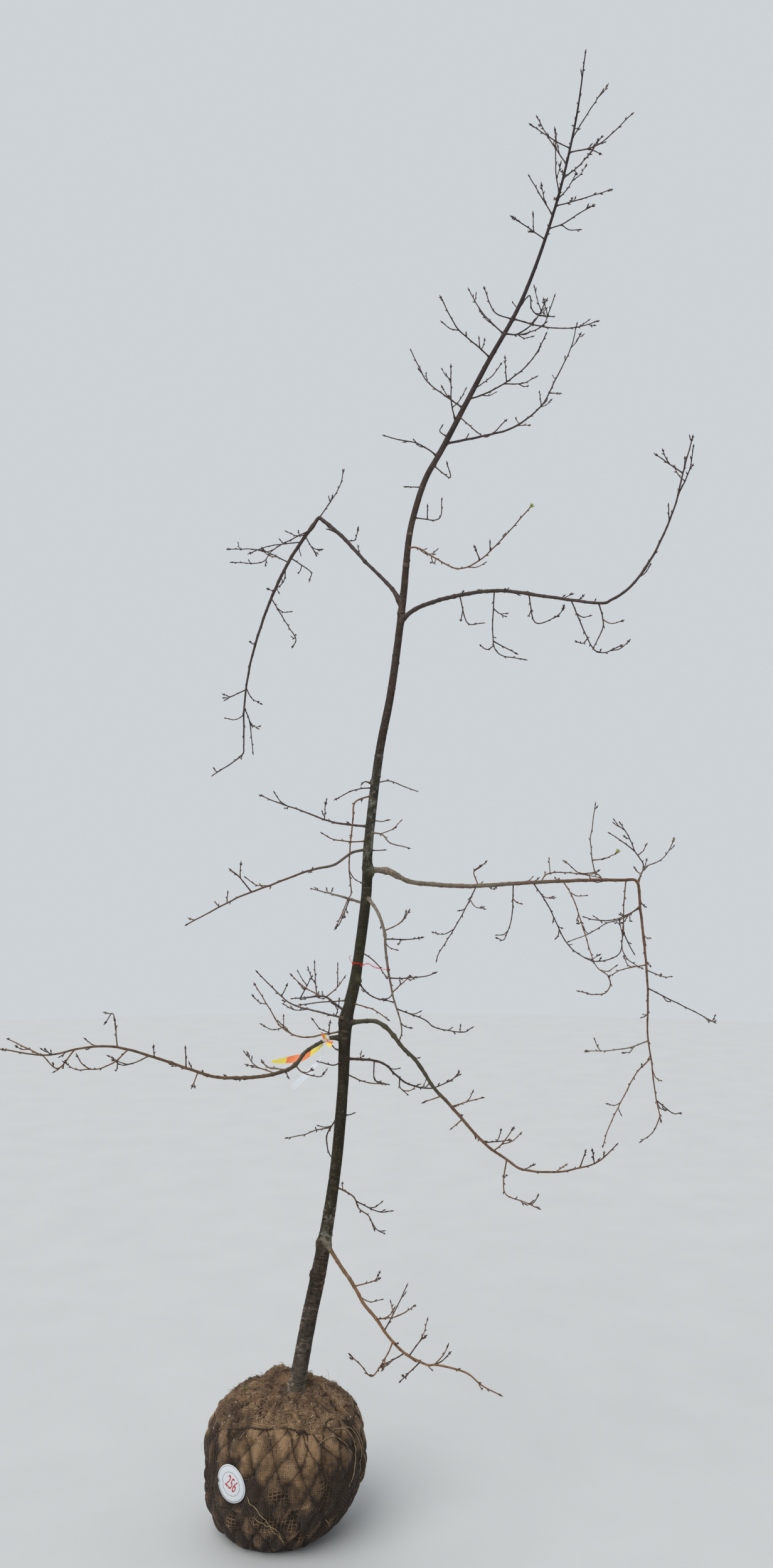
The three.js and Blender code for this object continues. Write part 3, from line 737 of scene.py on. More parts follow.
# The lowest bough leaves the trunk at its front, a little above the source's line
stem = boughs["lowest"]["stem"]
forward = np.array([-5, -15, 12]) * bell(stem.run, 75)[:, None]
boughs["lowest"]["stem"] = Path(stem.points + forward, stem.side)
take(source_trunk, lambda run: trunk_radius(source_trunk.at(run)[0][2]), "trunk")
for limb in limbs:
    form = SHOOT if limb in shoots else BOUGH
    for part in limb["parts"]:
        take(part["path"], taper(limb["stem"].end, limb["foot"], form), part["name"])
        for side in part["sides"]:
            take(side, taper(side.end, SIDE_TWIG["foot"], SIDE_TWIG), part["name"])
for limb in limbs:
    limb["twigs"] = [twig for part in limb["parts"] for twig in part_twigs(part, limb["stem"])]
for look, place, bearing, *legs in SMALL_TWIGS:
    bough = boughs[look]
    lines = [bough["stem"], *(side.fine for part in bough["parts"] for side in part["sides"])]
    start = min((line.nearest(place) for line in lines), key=lambda found: math.dist(found, place))
    twig = limb_path(start, bearing, legs, FINE_STEP)
    twig.fine = twig
    bough["parts"][-1]["sides"].append(twig)


# Camera and light
def show(data, name, place=(0, 0, 0), turn=(0, 0, 0)):
    made = bpy.data.objects.new(name, data)
    made.location, made.rotation_euler = place, [math.radians(angle) for angle in turn]
    bpy.context.scene.collection.objects.link(made)
    return made


camera = bpy.data.cameras.new("camera")
camera.lens, camera.sensor_width, camera.clip_end = 28, 36, 60
bpy.context.scene.camera = show(camera, "camera", (0.353, -4.07, 2.10), (94, 0, 0))
bpy.context.scene.view_settings.view_transform = "Standard"

world = bpy.data.worlds.new("studio")
world.use_nodes = True
sky = world.node_tree.nodes["Background"].inputs
sky["Color"].default_value, sky["Strength"].default_value = (0.9, 0.95, 1.0, 1), 0.68
bpy.context.scene.world = world

LIGHTS = [("key_light", 1.9, 50, (40, 0, -35)), ("fill_light", 0.6, 80, (-50, 0, 30))]
for name, strength, spread, turn in LIGHTS:
    sun = bpy.data.lights.new(name, "SUN")
    sun.energy, sun.angle = strength, math.radians(spread)
    show(sun, name, (0, 0, 8), turn)


# Finishes
# How much lighter than the bark its pale flecks are
FLECK_LIGHT = 2.2
# How far the roughness varies on either side
ROUGHNESS_SPREAD = 0.12


def node(tree, kind, inputs, **settings):
    """Adds a shader node. An input is a value, or a socket whose value it takes."""
    made = tree.nodes.new(kind)
    for key, value in settings.items():
        setattr(made, key, value)
    for key, value in inputs.items():
        if isinstance(value, bpy.types.NodeSocket):
            tree.links.new(value, made.inputs[key])
        else:
            made.inputs[key].default_value = value
    return made


def finish_of(name, colour, roughness, specular, grain, relief, depth, mottle, sheen=0.0, flecks=None):
    """A rough natural finish. With no colour given, the piece's own tints colour it.

    The grain says how fine its relief is, and the flecks how fine its pale specks are, along each
    axis or along all. The fourth value of a tint says how strong the flecks are.
    """
    finish = bpy.data.materials.new(name)
    finish.use_nodes = True
    tree = finish.node_tree
    shader = tree.nodes["Principled BSDF"]
    shader.inputs["Specular IOR Level"].default_value = specular
    shader.inputs["Sheen Weight"].default_value = sheen
    where = node(tree, "ShaderNodeTexCoord", {}).outputs["Object"]

    def noise_of(fineness, detail):
        scale = np.broadcast_to(fineness, 3)
        spread = node(tree, "ShaderNodeMapping", {"Vector": where, "Scale": scale}).outputs[0]
        inputs = {"Vector": spread, "Scale": 1.0, "Detail": detail}
        return node(tree, "ShaderNodeTexNoise", inputs).outputs["Fac"]

    def range_of(*values):
        inputs = dict(zip(["Value", "From Min", "From Max", "To Min", "To Max"], values))
        return node(tree, "ShaderNodeMapRange", inputs).outputs[0]

    fine = noise_of(grain, 4.0)
    light = range_of(fine, 0.3, 0.7, 1 - mottle, 1 + mottle)
    tint = node(tree, "ShaderNodeAttribute", {}, attribute_name="tint").outputs
    if flecks:
        pale = range_of(noise_of(flecks, 2.0), 0.53, 0.63, 0, FLECK_LIGHT)
        inputs = {0: pale, 1: tint["Alpha"], 2: light}
        light = node(tree, "ShaderNodeMath", inputs, operation="MULTIPLY_ADD").outputs[0]
    own = tint["Color"] if colour is None else colour
    mixed = node(tree, "ShaderNodeVectorMath", {0: own, "Scale": light}, operation="SCALE")
    rough = range_of(fine, 0, 1, roughness - ROUGHNESS_SPREAD, min(1, roughness + ROUGHNESS_SPREAD))
    bump = node(tree, "ShaderNodeBump", {"Height": fine, "Strength": relief, "Distance": depth})
    for made, socket in [(mixed.outputs[0], "Base Color"), (rough, "Roughness"), (bump.outputs[0], "Normal")]:
        tree.links.new(made, shader.inputs[socket])
    return finish


# Trunk
# Heights where the trunk's bark turns: old and furrowed below, and a golden and a pale stretch
OLD_BARK = 1250, 850
GOLDEN_BARK = (800, 1000), (1560, 1350)
PALE_BARK = (2080, 2150), (2560, 2380)
# Spots of lichen: height, half height, strength, and the grain's size, seed and range
LICHEN_SPOTS = [
    (905, 17, 0.75, (6, 6, 5), 15, (-0.1, 0.3)),
    (978, 30, 0.5, 7, 16, (0.1, 0.4)),
]
TRUNK_SIDES = 48
# Steps between the trunk's rings, finer in its lower part, and how many there are of each
TRUNK_STEPS, TRUNK_COUNTS = (2.6, 4.0), (640, 900)
# Above this height the trunk is young, with a node at each gap
YOUNG_FROM = 2340
YOUNG_GAP = (52, 96)
# Above this height the trunk is a bare leader, with a bud at each gap
BARE_TOP = 4330
LEADER_GAP = 33
GOLD = (0.15, 0.115, 0.055)
LICHEN = (0.17, 0.17, 0.135)
# Bark up the trunk: height, colour, and how strong its pale flecks are
TRUNK_TINTS = [
    [400, (0.08, 0.064, 0.048), 0.2], [500, (0.058, 0.045, 0.034), 0.25], [600, (0.05, 0.038, 0.028), 0.35],
    [760, (0.031, 0.02, 0.0135), 0.5], [900, (0.026, 0.0195, 0.0125), 0.5],
    [1040, (0.024, 0.018, 0.0095), 0.45], [1300, (0.022, 0.0175, 0.009), 0.25],
    [1500, (0.021, 0.0155, 0.009), 0.15], [1600, (0.027, 0.021, 0.0135), 0.35],
    [1720, (0.039, 0.034, 0.017), 0.12], [1900, (0.036, 0.031, 0.016), 0.2],
    [2060, (0.023, 0.021, 0.012), 0.45], [2140, (0.032, 0.03, 0.019), 0.6],
    [2440, (0.038, 0.032, 0.023), 0.6], [2540, (0.035, 0.025, 0.0185), 0.45],
    [2740, (0.043, 0.028, 0.022), 0.35], [2940, (0.04, 0.027, 0.0205), 0.5],
    [3100, (0.048, 0.032, 0.024), 0.5], [3400, (0.048, 0.033, 0.0265), 0.4],
    [3800, (0.043, 0.03, 0.026), 0.3], [5105, (0.03, 0.021, 0.024), 0.15],
]

# Marks on the trunk: height, bearing, half width, half height, relief, and how pale or dark they are
# Where a sunk mark is darker, that is painted shade in its dent
TRUNK_MARKS = [
    [694, -109, 7, 2.5, -2.0, 0.4], [700, -112, 8, 2.0, 0.8, 2.4], [690, -120, 4, 5, -1.2, 0.6],
    [636, -140, 8, 2.5, -1.8, 0.45], [642, -138, 8, 2.0, 0.8, 2.2], [640, -128, 4, 6, -1.0, 0.7],
    [877, 178, 13, 17, 5.5, 1.3], [777, 182, 10, 12, 4.5, 1.4], [784, 184, 6, 4, 1.5, 1.8],
    [978, -168, 8, 8, 1.8, 3.0], [908, -90, 24, 3.0, 2.4, 3.2], [899, -90, 22, 1.8, -1.0, 0.45],
    [890, -120, 13, 13, 2.2, 1.5], [895, -76, 10, 9, 5.0, 1.9], [882, -60, 11, 11, 7.0, 2.1],
    [868, -47, 12, 12, 8.5, 2.1], [1590, 176, 15, 20, 4.5, 1.3], [1644, 184, 13, 15, -3.0, 1.0],
    [1602, -130, 8, 2.4, 1.4, 3.4], [1594, -132, 9, 2.0, -1.2, 0.4], [1560, -92, 11, 2.8, 1.8, 4.2],
    [1554, -92, 11, 2.0, -1.0, 0.45], [1537, -85, 8, 2.4, 1.4, 3.4], [1734, -60, 9, 12, 6.0, 2.4],
    [1728, -20, 9, 8, 5.0, 1.8], [2177, -90, 9, 3.0, 1.4, 3.0], [2190, -60, 6, 4, 2.0, 2.6],
    [2277, -110, 9, 3.0, 1.6, 3.2], [2266, -70, 5, 4, 1.8, 2.4], [2330, -80, 7, 8, 0.8, 2.6],
    [2094, -10, 15, 14, 6.5, 2.6], [2104, 170, 9, 7, 2.5, 2.2], [2080, 20, 12, 6, 2.5, 2.4],
    [2036, -70, 12, 3.0, 1.2, 2.6], [2400, 180, 6, 6, 3.0, 1.8], [2837, -150, 6, 6, 2.0, 1.5],
    [2899, -38, 5, 5, 2.5, 2.0], [2990, -150, 14, 12, 3.0, 1.5], [3099, -45, 6, 7, 3.0, 2.0],
    [3272, -60, 6, 5, 2.6, 2.4],
]

# Rings all the way round, where a year's growth ended: height, half height, relief and paleness
# Where a sunk ring is darker, that is painted shade in its groove
TRUNK_RINGS = [
    [905, 2.6, 1.2, 1.5], [1330, 2.4, 0.7, 1.3], [1790, 2.4, 0.9, 1.4], [2118, 2.6, 1.2, 1.8],
    [2290, 2.4, 0.9, 1.7], [2487, 2.6, 1.6, 1.9], [2496, 2.0, -0.8, 0.5], [2587, 2.4, 1.3, 1.7],
    [2723, 2.6, 1.3, 1.8], [3160, 5.5, 1.6, 2.8], [3148, 2.0, -0.9, 0.5], [3272, 3.5, 1.0, 1.9],
    [3440, 2.6, 0.9, 1.6], [3700, 2.2, 0.8, 1.5], [4050, 2.0, 0.8, 1.5], [4420, 1.8, 0.7, 1.5],
]


def lenticels(angles, heights, around, tall, share, seed):
    """Small lens-shaped marks across a stem, each somewhere in its own cell: 0 off them to 1 on them."""
    grid = np.stack([angles / (2 * math.pi) * around, heights / tall], -1)
    cell = np.floor(grid)
    keys = np.concatenate([cell.astype(int), np.zeros_like(cell[..., :1], int)], -1)
    keys[..., 0] %= around
    shown = lattice(keys, seed) < 2 * share - 1
    middle = np.stack([0.5 + 0.2 * lattice(keys, seed + 1), 0.5 + 0.3 * lattice(keys, seed + 2)], -1)
    reach = 0.14 + 0.1 * np.abs(lattice(keys, seed + 3))
    away = grid - cell - middle
    lens = 1 - np.hypot(away[..., 0] / reach, away[..., 1] / 0.17)
    return np.where(shown, np.clip(lens * 1.6, 0, 1), 0)


def way_out(limb):
    """How far along its stem a limb leaves the trunk's surface."""
    heading = limb["stem"].headings[0]
    return trunk_radius(limb["stem"].points[0][2]) / max(0.5, math.hypot(*heading[:2]))


def trunk_tints(heights):
    """Colour and fleck strength of the trunk's bark."""
    rows, colours, flecks = zip(*TRUNK_TINTS)
    return np.stack([np.interp(heights, rows, values) for values in (*zip(*colours), flecks)], -1)


def add_collars(relief, tone_and_shade, heights, radii, around):
    """The collar where each limb leaves the trunk: swollen, pale and creased, with a line of painted shade in
    the crotch above it.
    """
    for limb in limbs + small_limbs:
        foot, heading = limb["foot"], limb["stem"].headings[0]
        aside = around(math.degrees(math.atan2(heading[1], heading[0])))
        rise = radii * heading[2] / math.hypot(*heading[:2])
        away = heights - limb["stem"].points[0][2] - rise
        relief += window(aside, away, 1.7 * foot, 2.2 * foot) * foot * 0.55
        creases = np.sin((away - np.abs(aside) * 0.45) / 1.2)
        creases *= window(aside, away - 1.6 * foot, 2 * foot, 2 * foot)
        relief += 0.3 * creases * (foot > THICK_FOOT)
        tone_and_shade *= 1 + 0.7 * window(aside, away, 1.9 * foot, 2.2 * foot)
        # Painted shade in the crotch above the limb
        crotch = away - 1.9 * foot - np.abs(aside) * 0.25
        tone_and_shade *= 1 - 0.5 * window(aside, crotch, 1.8 * foot, 0.4 * foot)


def trunk_lichen(spots, heights):
    """How much lichen covers the trunk: a trace all over, more on the pale stretch and in two low spots."""
    cover = ramp(noise(spots, (11, 11, 16), 9) + 0.5 * noise(spots, (4, 4, 5), 10), 0.1, 0.55)
    cover *= 0.06 + 0.5 * band(heights, *PALE_BARK)
    for height, tall, strength, size, seed, span in LICHEN_SPOTS:
        grain = ramp(noise(spots, size, seed), *span)
        cover = np.maximum(cover, strength * grain * bell(heights - height, tall))
    return cover


def make_trunk(finish):
    """The trunk with its bark: furrowed and folded low down, golden above, pale and smooth when young."""
    line = path_through(trunk_joints, 4)
    distances = np.cumsum(np.append(0, np.repeat(TRUNK_STEPS, TRUNK_COUNTS)))
    distances = np.append(distances[distances < line.end - 1], line.end)
    places, _, across, above = line.frames(distances)
    heights = np.repeat(places[:, 2:], TRUNK_SIDES, 1)
    radii = trunk_radius(heights)
    angles = np.broadcast_to(circle(TRUNK_SIDES), radii.shape)
    runs = np.broadcast_to(distances[:, None], radii.shape)
    # The rings start at the front's far side: across is to the back, above is to the left
    bearings = (90 + np.degrees(angles)) % 360

    def around(bearing):
        return np.radians((bearings - bearing + 180) % 360 - 180) * radii

    spots = np.stack([np.cos(angles) * radii, np.sin(angles) * radii, runs], -1)
    thick = np.clip(radii / 25, 0.15, 1)
    old = ramp(heights, *OLD_BARK)
    lumps = noise(spots, (34, 34, 110), 1) * 0.035 * radii + noise(spots, (16, 16, 30), 2) * 0.018 * radii
    wrinkles = noise(spots, (13, 13, 4.2), 3)
    furrows = bell(noise(spots, (30, 30, 8), 4), 0.1)
    folds = bell(noise(spots, (42, 42, 9), 12), 0.13) * ramp(noise(spots, (26, 26, 30), 13), -0.3, 0.3)
    streaks = noise(spots, (5, 5, 55), 14)
    dashes = lenticels(angles, runs, 8, 7, 0.5, 5)
    relief = lumps + thick * ((0.18 + 0.22 * old) * wrinkles - (0.35 + 0.5 * old) * furrows)
    relief += thick * (0.5 * dashes + 0.9 * old * folds + 0.15 * (1 - old) * streaks)
    # Painted light and shade that follow the relief: paler on raised wrinkles, streaks and folds, darker in
    # the sunk furrows; the patches and lenticels are the bark's own tone
    patches = 0.2 * noise(spots, (22, 22, 60), 6)
    tone_and_shade = 1 + (0.12 + 0.13 * old) * wrinkles + patches + 0.16 * (1 - old) * streaks
    tone_and_shade = tone_and_shade * (1 - (0.25 + 0.3 * old) * furrows) * (1 + 2.0 * old * folds)
    golden = band(heights, *GOLDEN_BARK)
    tone_and_shade *= 1 + (0.7 + 0.7 * golden) * dashes

    nodes = YOUNG_FROM + np.cumsum(chance.uniform(*YOUNG_GAP, 60))
    marks = [[height, 144 * k, 4.6, 4.2, 2.1, 1.5] for k, height in enumerate(nodes[nodes < BARE_TOP])]
    for height, bearing, wide, tall, rise, paleness in TRUNK_MARKS + marks:
        near = window(around(bearing), heights - height, wide, tall)
        relief += near * rise * (1 + 0.3 * noise(spots, 4, 7)) * np.clip(radii / 12, 0.4, 1)
        tone_and_shade *= 1 + (paleness - 1) * near
    wavy = heights + 2.0 * noise(spots, (12, 12, 50), 8)
    for height, tall, rise, paleness in TRUNK_RINGS:
        near = bell(wavy - height, tall)
        relief += near * rise * thick**0.5
        tone_and_shade *= 1 + (paleness - 1) * near
    add_collars(relief, tone_and_shade, heights, radii, around)
    relief *= ramp(line.end - distances, 0, 40)[:, None]

    tint = trunk_tints(heights)
    tint[..., :3] *= np.clip(tone_and_shade, 0.3, 4.5)[..., None]
    tint[..., :3] = blend(tint[..., :3], GOLD, golden * dashes * 0.5)
    tint[..., :3] = blend(tint[..., :3], LICHEN, trunk_lichen(spots, heights))
    tint[..., :3] *= 1 - 0.25 * ramp(noise(spots, (60, 60, 200), 11), 0.0, 0.6)[..., None]
    tint[..., 3] *= ramp(noise(spots, (24, 24, 40), 17), -0.6, 0.4)
    out = spokes(across[:, None], above[:, None], angles)
    shape = Shape()
    add_tinted_tube(shape, places[:, None] + out * (radii + relief)[..., None], tint)
    shape.piece("trunk_bark", [finish], "bark", "trunk")


# Limbs: bark near the foot and further out, where it turns to the second, and the share of each twig finish
LOOKS = {
    "arch": ((0.052, 0.036, 0.028), (0.056, 0.036, 0.028), 0.3, (5, 1, 0, 5)),
    "rising": ((0.05, 0.034, 0.027), (0.052, 0.034, 0.027), 0.3, (5, 1, 0, 5)),
    "rail": ((0.14, 0.112, 0.078), (0.118, 0.06, 0.037), 0.25, (3, 5, 3, 1)),
    "upper_right": ((0.05, 0.035, 0.028), (0.05, 0.034, 0.027), 0.3, (5, 1, 0, 5)),
    "left_sloping": ((0.09, 0.062, 0.043), (0.11, 0.06, 0.038), 0.3, (4, 4, 1, 2)),
    "drooping": ((0.14, 0.115, 0.085), (0.12, 0.085, 0.062), 0.3, (3, 3, 3, 1)),
    "sinking": ((0.055, 0.047, 0.028), (0.12, 0.066, 0.04), 0.35, (3, 4, 1, 2)),
    "long_left": ((0.06, 0.047, 0.028), (0.12, 0.072, 0.042), 0.22, (3, 4, 2, 1)),
    "lowest": ((0.1, 0.075, 0.046), (0.165, 0.085, 0.041), 0.05, (1, 6, 1, 1)),
    "top": (None, None, 0, (5, 0, 0, 6)),
    "upper": (None, None, 0, (5, 0, 0, 6)),
    "middle": (None, None, 0, (3, 3, 3, 2)),
    "lower": (None, None, 0, (4, 2, 1, 4)),
}
TWIG_COLOURS = {
    "purple_brown_twigs": (0.07, 0.042, 0.031),
    "copper_twigs": (0.15, 0.078, 0.042),
    "grey_tan_twigs": (0.14, 0.105, 0.075),
    "dark_twigs": (0.047, 0.031, 0.023),
}
BUD_COLOURS = {
    "dark_red_buds": (0.05, 0.023, 0.018),
    "brown_buds": (0.085, 0.046, 0.03),
    "pale_buds": (0.22, 0.15, 0.09),
    "green_buds": (0.33, 0.36, 0.07),
}
# Slots of those finishes that are asked for, and the shares in which the first buds are dealt out
DARK_TWIGS = 3
DARK_RED, PALE, GREEN = 0, 2, 3
BUD_SHARES = [0.68, 0.28, 0.04]

# How side twigs and the rule's twigs grow: radii and collar, sides and steps of the mesh, where their
# nodes lie and how far they kink, the shares of nodes with buds and with spurs, and the tip bud's size
SIDE_KIND = {
    "foot": 2.3, "tip": 1.6, "collar": 0.5, "collar_length": 5, "sides": 7, "step": 3.8,
    "nodes": (8, (18, 32)), "kink": 0.65, "shares": (0.7, 0.16), "bud": 1.0,
}
RULE_KIND = {
    "foot": 1.9, "tip": 1.4, "collar": 0.6, "collar_length": 4, "sides": 6, "step": 3.6,
    "nodes": (5, (12, 22), 4), "kink": 0.5, "shares": (0.68, 0.12), "bud": 0.9,
}
TWIG_KNOB = 0.26
LIMB_TIP = 1.8
# A limb with a thicker foot than this has creases in the trunk's bark above it
THICK_FOOT = 4
# Where a limb is thicker than this it is old, with few buds left
OLD_RADIUS = 3.6
# A spur longer than this has a bud on its side too
LONG_SPUR = 14

# Boughs with pale lichen near the foot, and how much of it
PLAIN_LICHEN = 0.05
LICHENED = {"rail": 0.6, "drooping": 0.3, "left_sloping": 0.2, "lowest": 0.15}
PALE_COLLAR = (0.12, 0.105, 0.075)
PALE_PATCH = (0.2, 0.18, 0.14)

# Knobs on the boughs: distance, half length and how much thicker
KNOBS = {
    "rail": [(62, 16, 0.45), (95, 20, 0.4), (330, 9, 0.12), (1155, 14, 0.25)],
    "drooping": [(188, 6, 0.3), (262, 5, 0.2)],
    "sinking": [(150, 12, 0.2), (192, 8, 0.25), (330, 9, 0.15)],
    "long_left": [(110, 95, -0.2), (480, 300, -0.18), (215, 9, 0.2), (392, 8, 0.22), (640, 8, 0.2)],
    "lowest": [(170, 7, 0.15), (305, 7, 0.22), (456, 6, 0.25)],
    "rising": [(190, 160, -0.28), (235, 8, 0.15), (550, 9, 0.35)],
    "arch": [(235, 8, 0.15), (530, 8, 0.2), (975, 9, 0.35)],
}


def bough_bark(base, outer, turn, length, leaves, foot, lichened, height):
    """The tint of a bough's bark: a collar with painted shade in its creases, then from one colour to
    another, with flecks.
    """
    joined = PALE_COLLAR if lichened > PLAIN_LICHEN else 1.3 * trunk_tints(height)[:3]

    def tint(distance, points):
        share = ramp(distance / length + 0.1 * noise(points, 60, 21), turn - 0.08, turn + 0.2)
        collar = ramp(distance, leaves + 2.6 * foot, leaves + 0.4 * foot)
        colour = blend(blend(base, outer, share), joined, 0.8 * collar)
        # Darker stripes for the collar's creases: painted shade, as the mesh has no creases there
        creases = 1 - 0.35 * collar * ramp(np.sin(distance / 1.3 + 2 * noise(points, 9, 25)), 0.3, 1)
        mottle = 1 + 0.28 * noise(points, 14, 22) + 0.2 * noise(points, 4, 23)
        patches = ramp(noise(points, (9, 9, 6), 24), 0.3, 0.7) * (0.1 + lichened / 5)
        colour = blend(colour * (mottle * creases)[:, None], PALE_PATCH, patches)
        return np.column_stack([colour, 0.12 + lichened * ramp(distance, 300, 80)])

    return tint


def crown_growth(place):
    """How much of the crown's top a place is in, where the buds are larger."""
    return ramp(place[2], 3900, 4500)


def add_tip(buds, path, width, finish):
    """The bud at the end of a twig, often with a few smaller ones beside it."""
    place, heading = path.places(path.end)
    width = width * (1 + 0.25 * crown_growth(place))
    aside = unit(np.cross(heading, chance.normal(size=3)))
    length = chance.uniform(11, 16) * width
    buds.add(place - heading, heading, length, chance.uniform(4.8, 6.2) * width, finish)
    for turn in range(chance.choice(5, p=[0.15, 0.2, 0.3, 0.2, 0.15])):
        way = turned(heading, aside * (1 - 2 * (turn % 2)), math.radians(chance.uniform(22, 48)))
        start = place - heading * (chance.uniform(1.5, 4) + 9 * (turn // 2))
        buds.add(start, way, chance.uniform(7.5, 11) * width, chance.uniform(3.4, 4.6) * width, finish)


def add_bud(buds, place, heading, out, radius, finish):
    way = turned(heading, out, math.radians(chance.uniform(20, 42)))
    size = chance.uniform(0.85, 1.2) * (1 + 0.35 * crown_growth(place))
    buds.add(place + out * radius * 0.75, way, 8.6 * size, 3.7 * size, finish)


def add_nodes(twigs, buds, nodes, bud_share, spur_share, finish, bud_finish):
    """Buds on most nodes of a stem, and short spurs on some."""
    for place, heading, out, radius in zip(*nodes):
        lot = chance.random()
        way = turned(heading, out, math.radians(chance.uniform(28, 45)))
        if lot < spur_share:
            start = place + out * radius * 0.6
            length = chance.uniform(7, 24)
            bend = start + way * length / 2
            tip = bend + unit(way + UP * 0.35) * length / 2
            spur = Path([start - way * radius * 0.5, bend, tip], np.cross(way, out))
            rings = nodes_along(spur, 3, (4, 7), 2)
            found = grow(
                twigs, spur, lambda d: 1.5 - 0.2 * d / length, 5, 2.6, rings, 0.25, 0.3, finish=finish
            )
            add_tip(buds, spur, 0.8, bud_finish)
            if length > LONG_SPUR:
                add_bud(buds, *(values[0] for values in found), bud_finish)
        elif lot < spur_share + bud_share:
            add_bud(buds, place, heading, out, radius, bud_finish)


def flared(limb, look):
    """A limb's radius, with a collar where it leaves the trunk and a bough's knobs."""
    leaves, foot = way_out(limb), limb["foot"]
    plain = taper(limb["stem"].end, foot, {"tip": LIMB_TIP})
    swell = 0.5 if foot > THICK_FOOT else 0.7

    def radius(d):
        knobs = sum(more * bell(d - middle, half) for middle, half, more in KNOBS.get(look, []))
        return plain(d) * (1 + swell * np.exp(-((np.maximum(d - leaves, 0) / (1.9 * foot)) ** 1.4)) + knobs)

    return radius


def deal_bud():
    return int(chance.choice(len(BUD_SHARES), p=BUD_SHARES))


def grow_twig(twigs, buds, line, kind, nodes, finish):
    """A twig with its collar, the buds and spurs on its nodes and the bud at its tip."""
    radius = taper(line.end, kind["foot"], kind)
    mesh = kind["sides"], kind["step"]
    grown = grow(twigs, line, radius, *mesh, nodes, kind["kink"], TWIG_KNOB, finish=finish)
    add_nodes(twigs, buds, grown, *kind["shares"], finish, deal_bud())
    add_tip(buds, line, kind["bud"], deal_bud())


def grow_limb(limb, look, limb_shape, twigs, buds):
    """Grows a limb's stem, its side twigs, the rule's twigs and the spurs and buds on them all."""
    base, outer, turn, weights = LOOKS[look]
    weights = np.array(weights) / sum(weights)
    stem, radius, leaves = limb["stem"], flared(limb, look), way_out(limb)

    def deal():
        return int(chance.choice(len(weights), p=weights))

    if base:
        nodes = nodes_along(stem, 18 + leaves, (24, 46))
        lichened = LICHENED.get(look, PLAIN_LICHEN)
        bark = bough_bark(base, outer, turn, stem.end, leaves, limb["foot"], lichened, stem.points[0][2])
        grown = grow(limb_shape, stem, radius, 12, 4.5, nodes, 0.7, 0.16, bark)
    else:
        nodes = nodes_along(stem, 12 + leaves, (20, 36))
        finish = deal()
        grown = grow(twigs, stem, radius, 8, 4, nodes, 0.7, 0.24, finish=finish)
    old = radius(nodes) > OLD_RADIUS
    spurs = 0 if limb in small_limbs else 0.14
    add_nodes(twigs, buds, [values[~old] for values in grown], 0.74, spurs, deal(), deal_bud())
    add_nodes(twigs, buds, [values[old] for values in grown], 0.12, 0.12, deal(), deal_bud())
    add_tip(buds, stem, 1.0, deal_bud())
    for side in itertools.chain(*(part["sides"] for part in limb["parts"])):
        finish = deal()
        nodes = nodes_along(side.fine, *SIDE_KIND["nodes"])
        grow_twig(twigs, buds, side.fine, SIDE_KIND, nodes, finish)
    for line, (foot, middle, tip) in limb["twigs"]:
        start = line.nearest(foot)
        twig = path_through([start, middle + start - foot, tip], 5)
        twig.side = unit(np.cross(tip - start, UP) + np.array([0, 0, 0.01]))
        nodes = nodes_along(twig, *RULE_KIND["nodes"])
        grow_twig(twigs, buds, twig, RULE_KIND, nodes, deal())


def leader_buds(twigs, buds):
    """The buds on the top of the trunk, which has no twigs left to grow."""
    heights, top = trunk_line.points[:, 2], TRUNK[-1][0] - 12
    nodes = np.arange(*np.interp([BARE_TOP, top], heights, trunk_line.run), LEADER_GAP)
    nodes = nodes + chance.uniform(-5, 5, len(nodes))
    turns = np.arange(len(nodes)) * NODE_TURN
    radii = trunk_radius(np.interp(nodes, trunk_line.run, heights))
    grown = at_nodes(trunk_line, nodes, turns, 0, radii)
    add_nodes(twigs, buds, grown, 0.95, 0.05, DARK_TWIGS, DARK_RED)
    add_tip(buds, trunk_line, 1.1, DARK_RED)


def opening_bud(buds, path):
    """The bud at the end of a twig that has begun to open into green leaves."""
    place, heading = path.places(path.end)
    aside = unit(np.cross(heading, UP))
    for out in spokes(aside, np.cross(heading, aside), np.arange(5) * 1.26):
        buds.add(place - heading, turned(heading, out, 0.55), 16, 6, GREEN)


# Grain, relief, its depth and the mottling of a finely grained finish
FINE = 900, 0.3, 0.0003, 0.2
bark_finish = finish_of("bark", None, 0.8, 0.2, (220, 220, 640), 0.8, 0.0011, 0.34, flecks=(120, 120, 340))
bough_finish = finish_of("bough_bark", None, 0.65, 0.25, 420, 0.45, 0.0006, 0.22, flecks=300)
twig_finishes = [finish_of(name, colour, 0.58, 0.25, *FINE) for name, colour in TWIG_COLOURS.items()]
bud_finishes = [finish_of(name, colour, 0.5, 0.45, *FINE) for name, colour in BUD_COLOURS.items()]

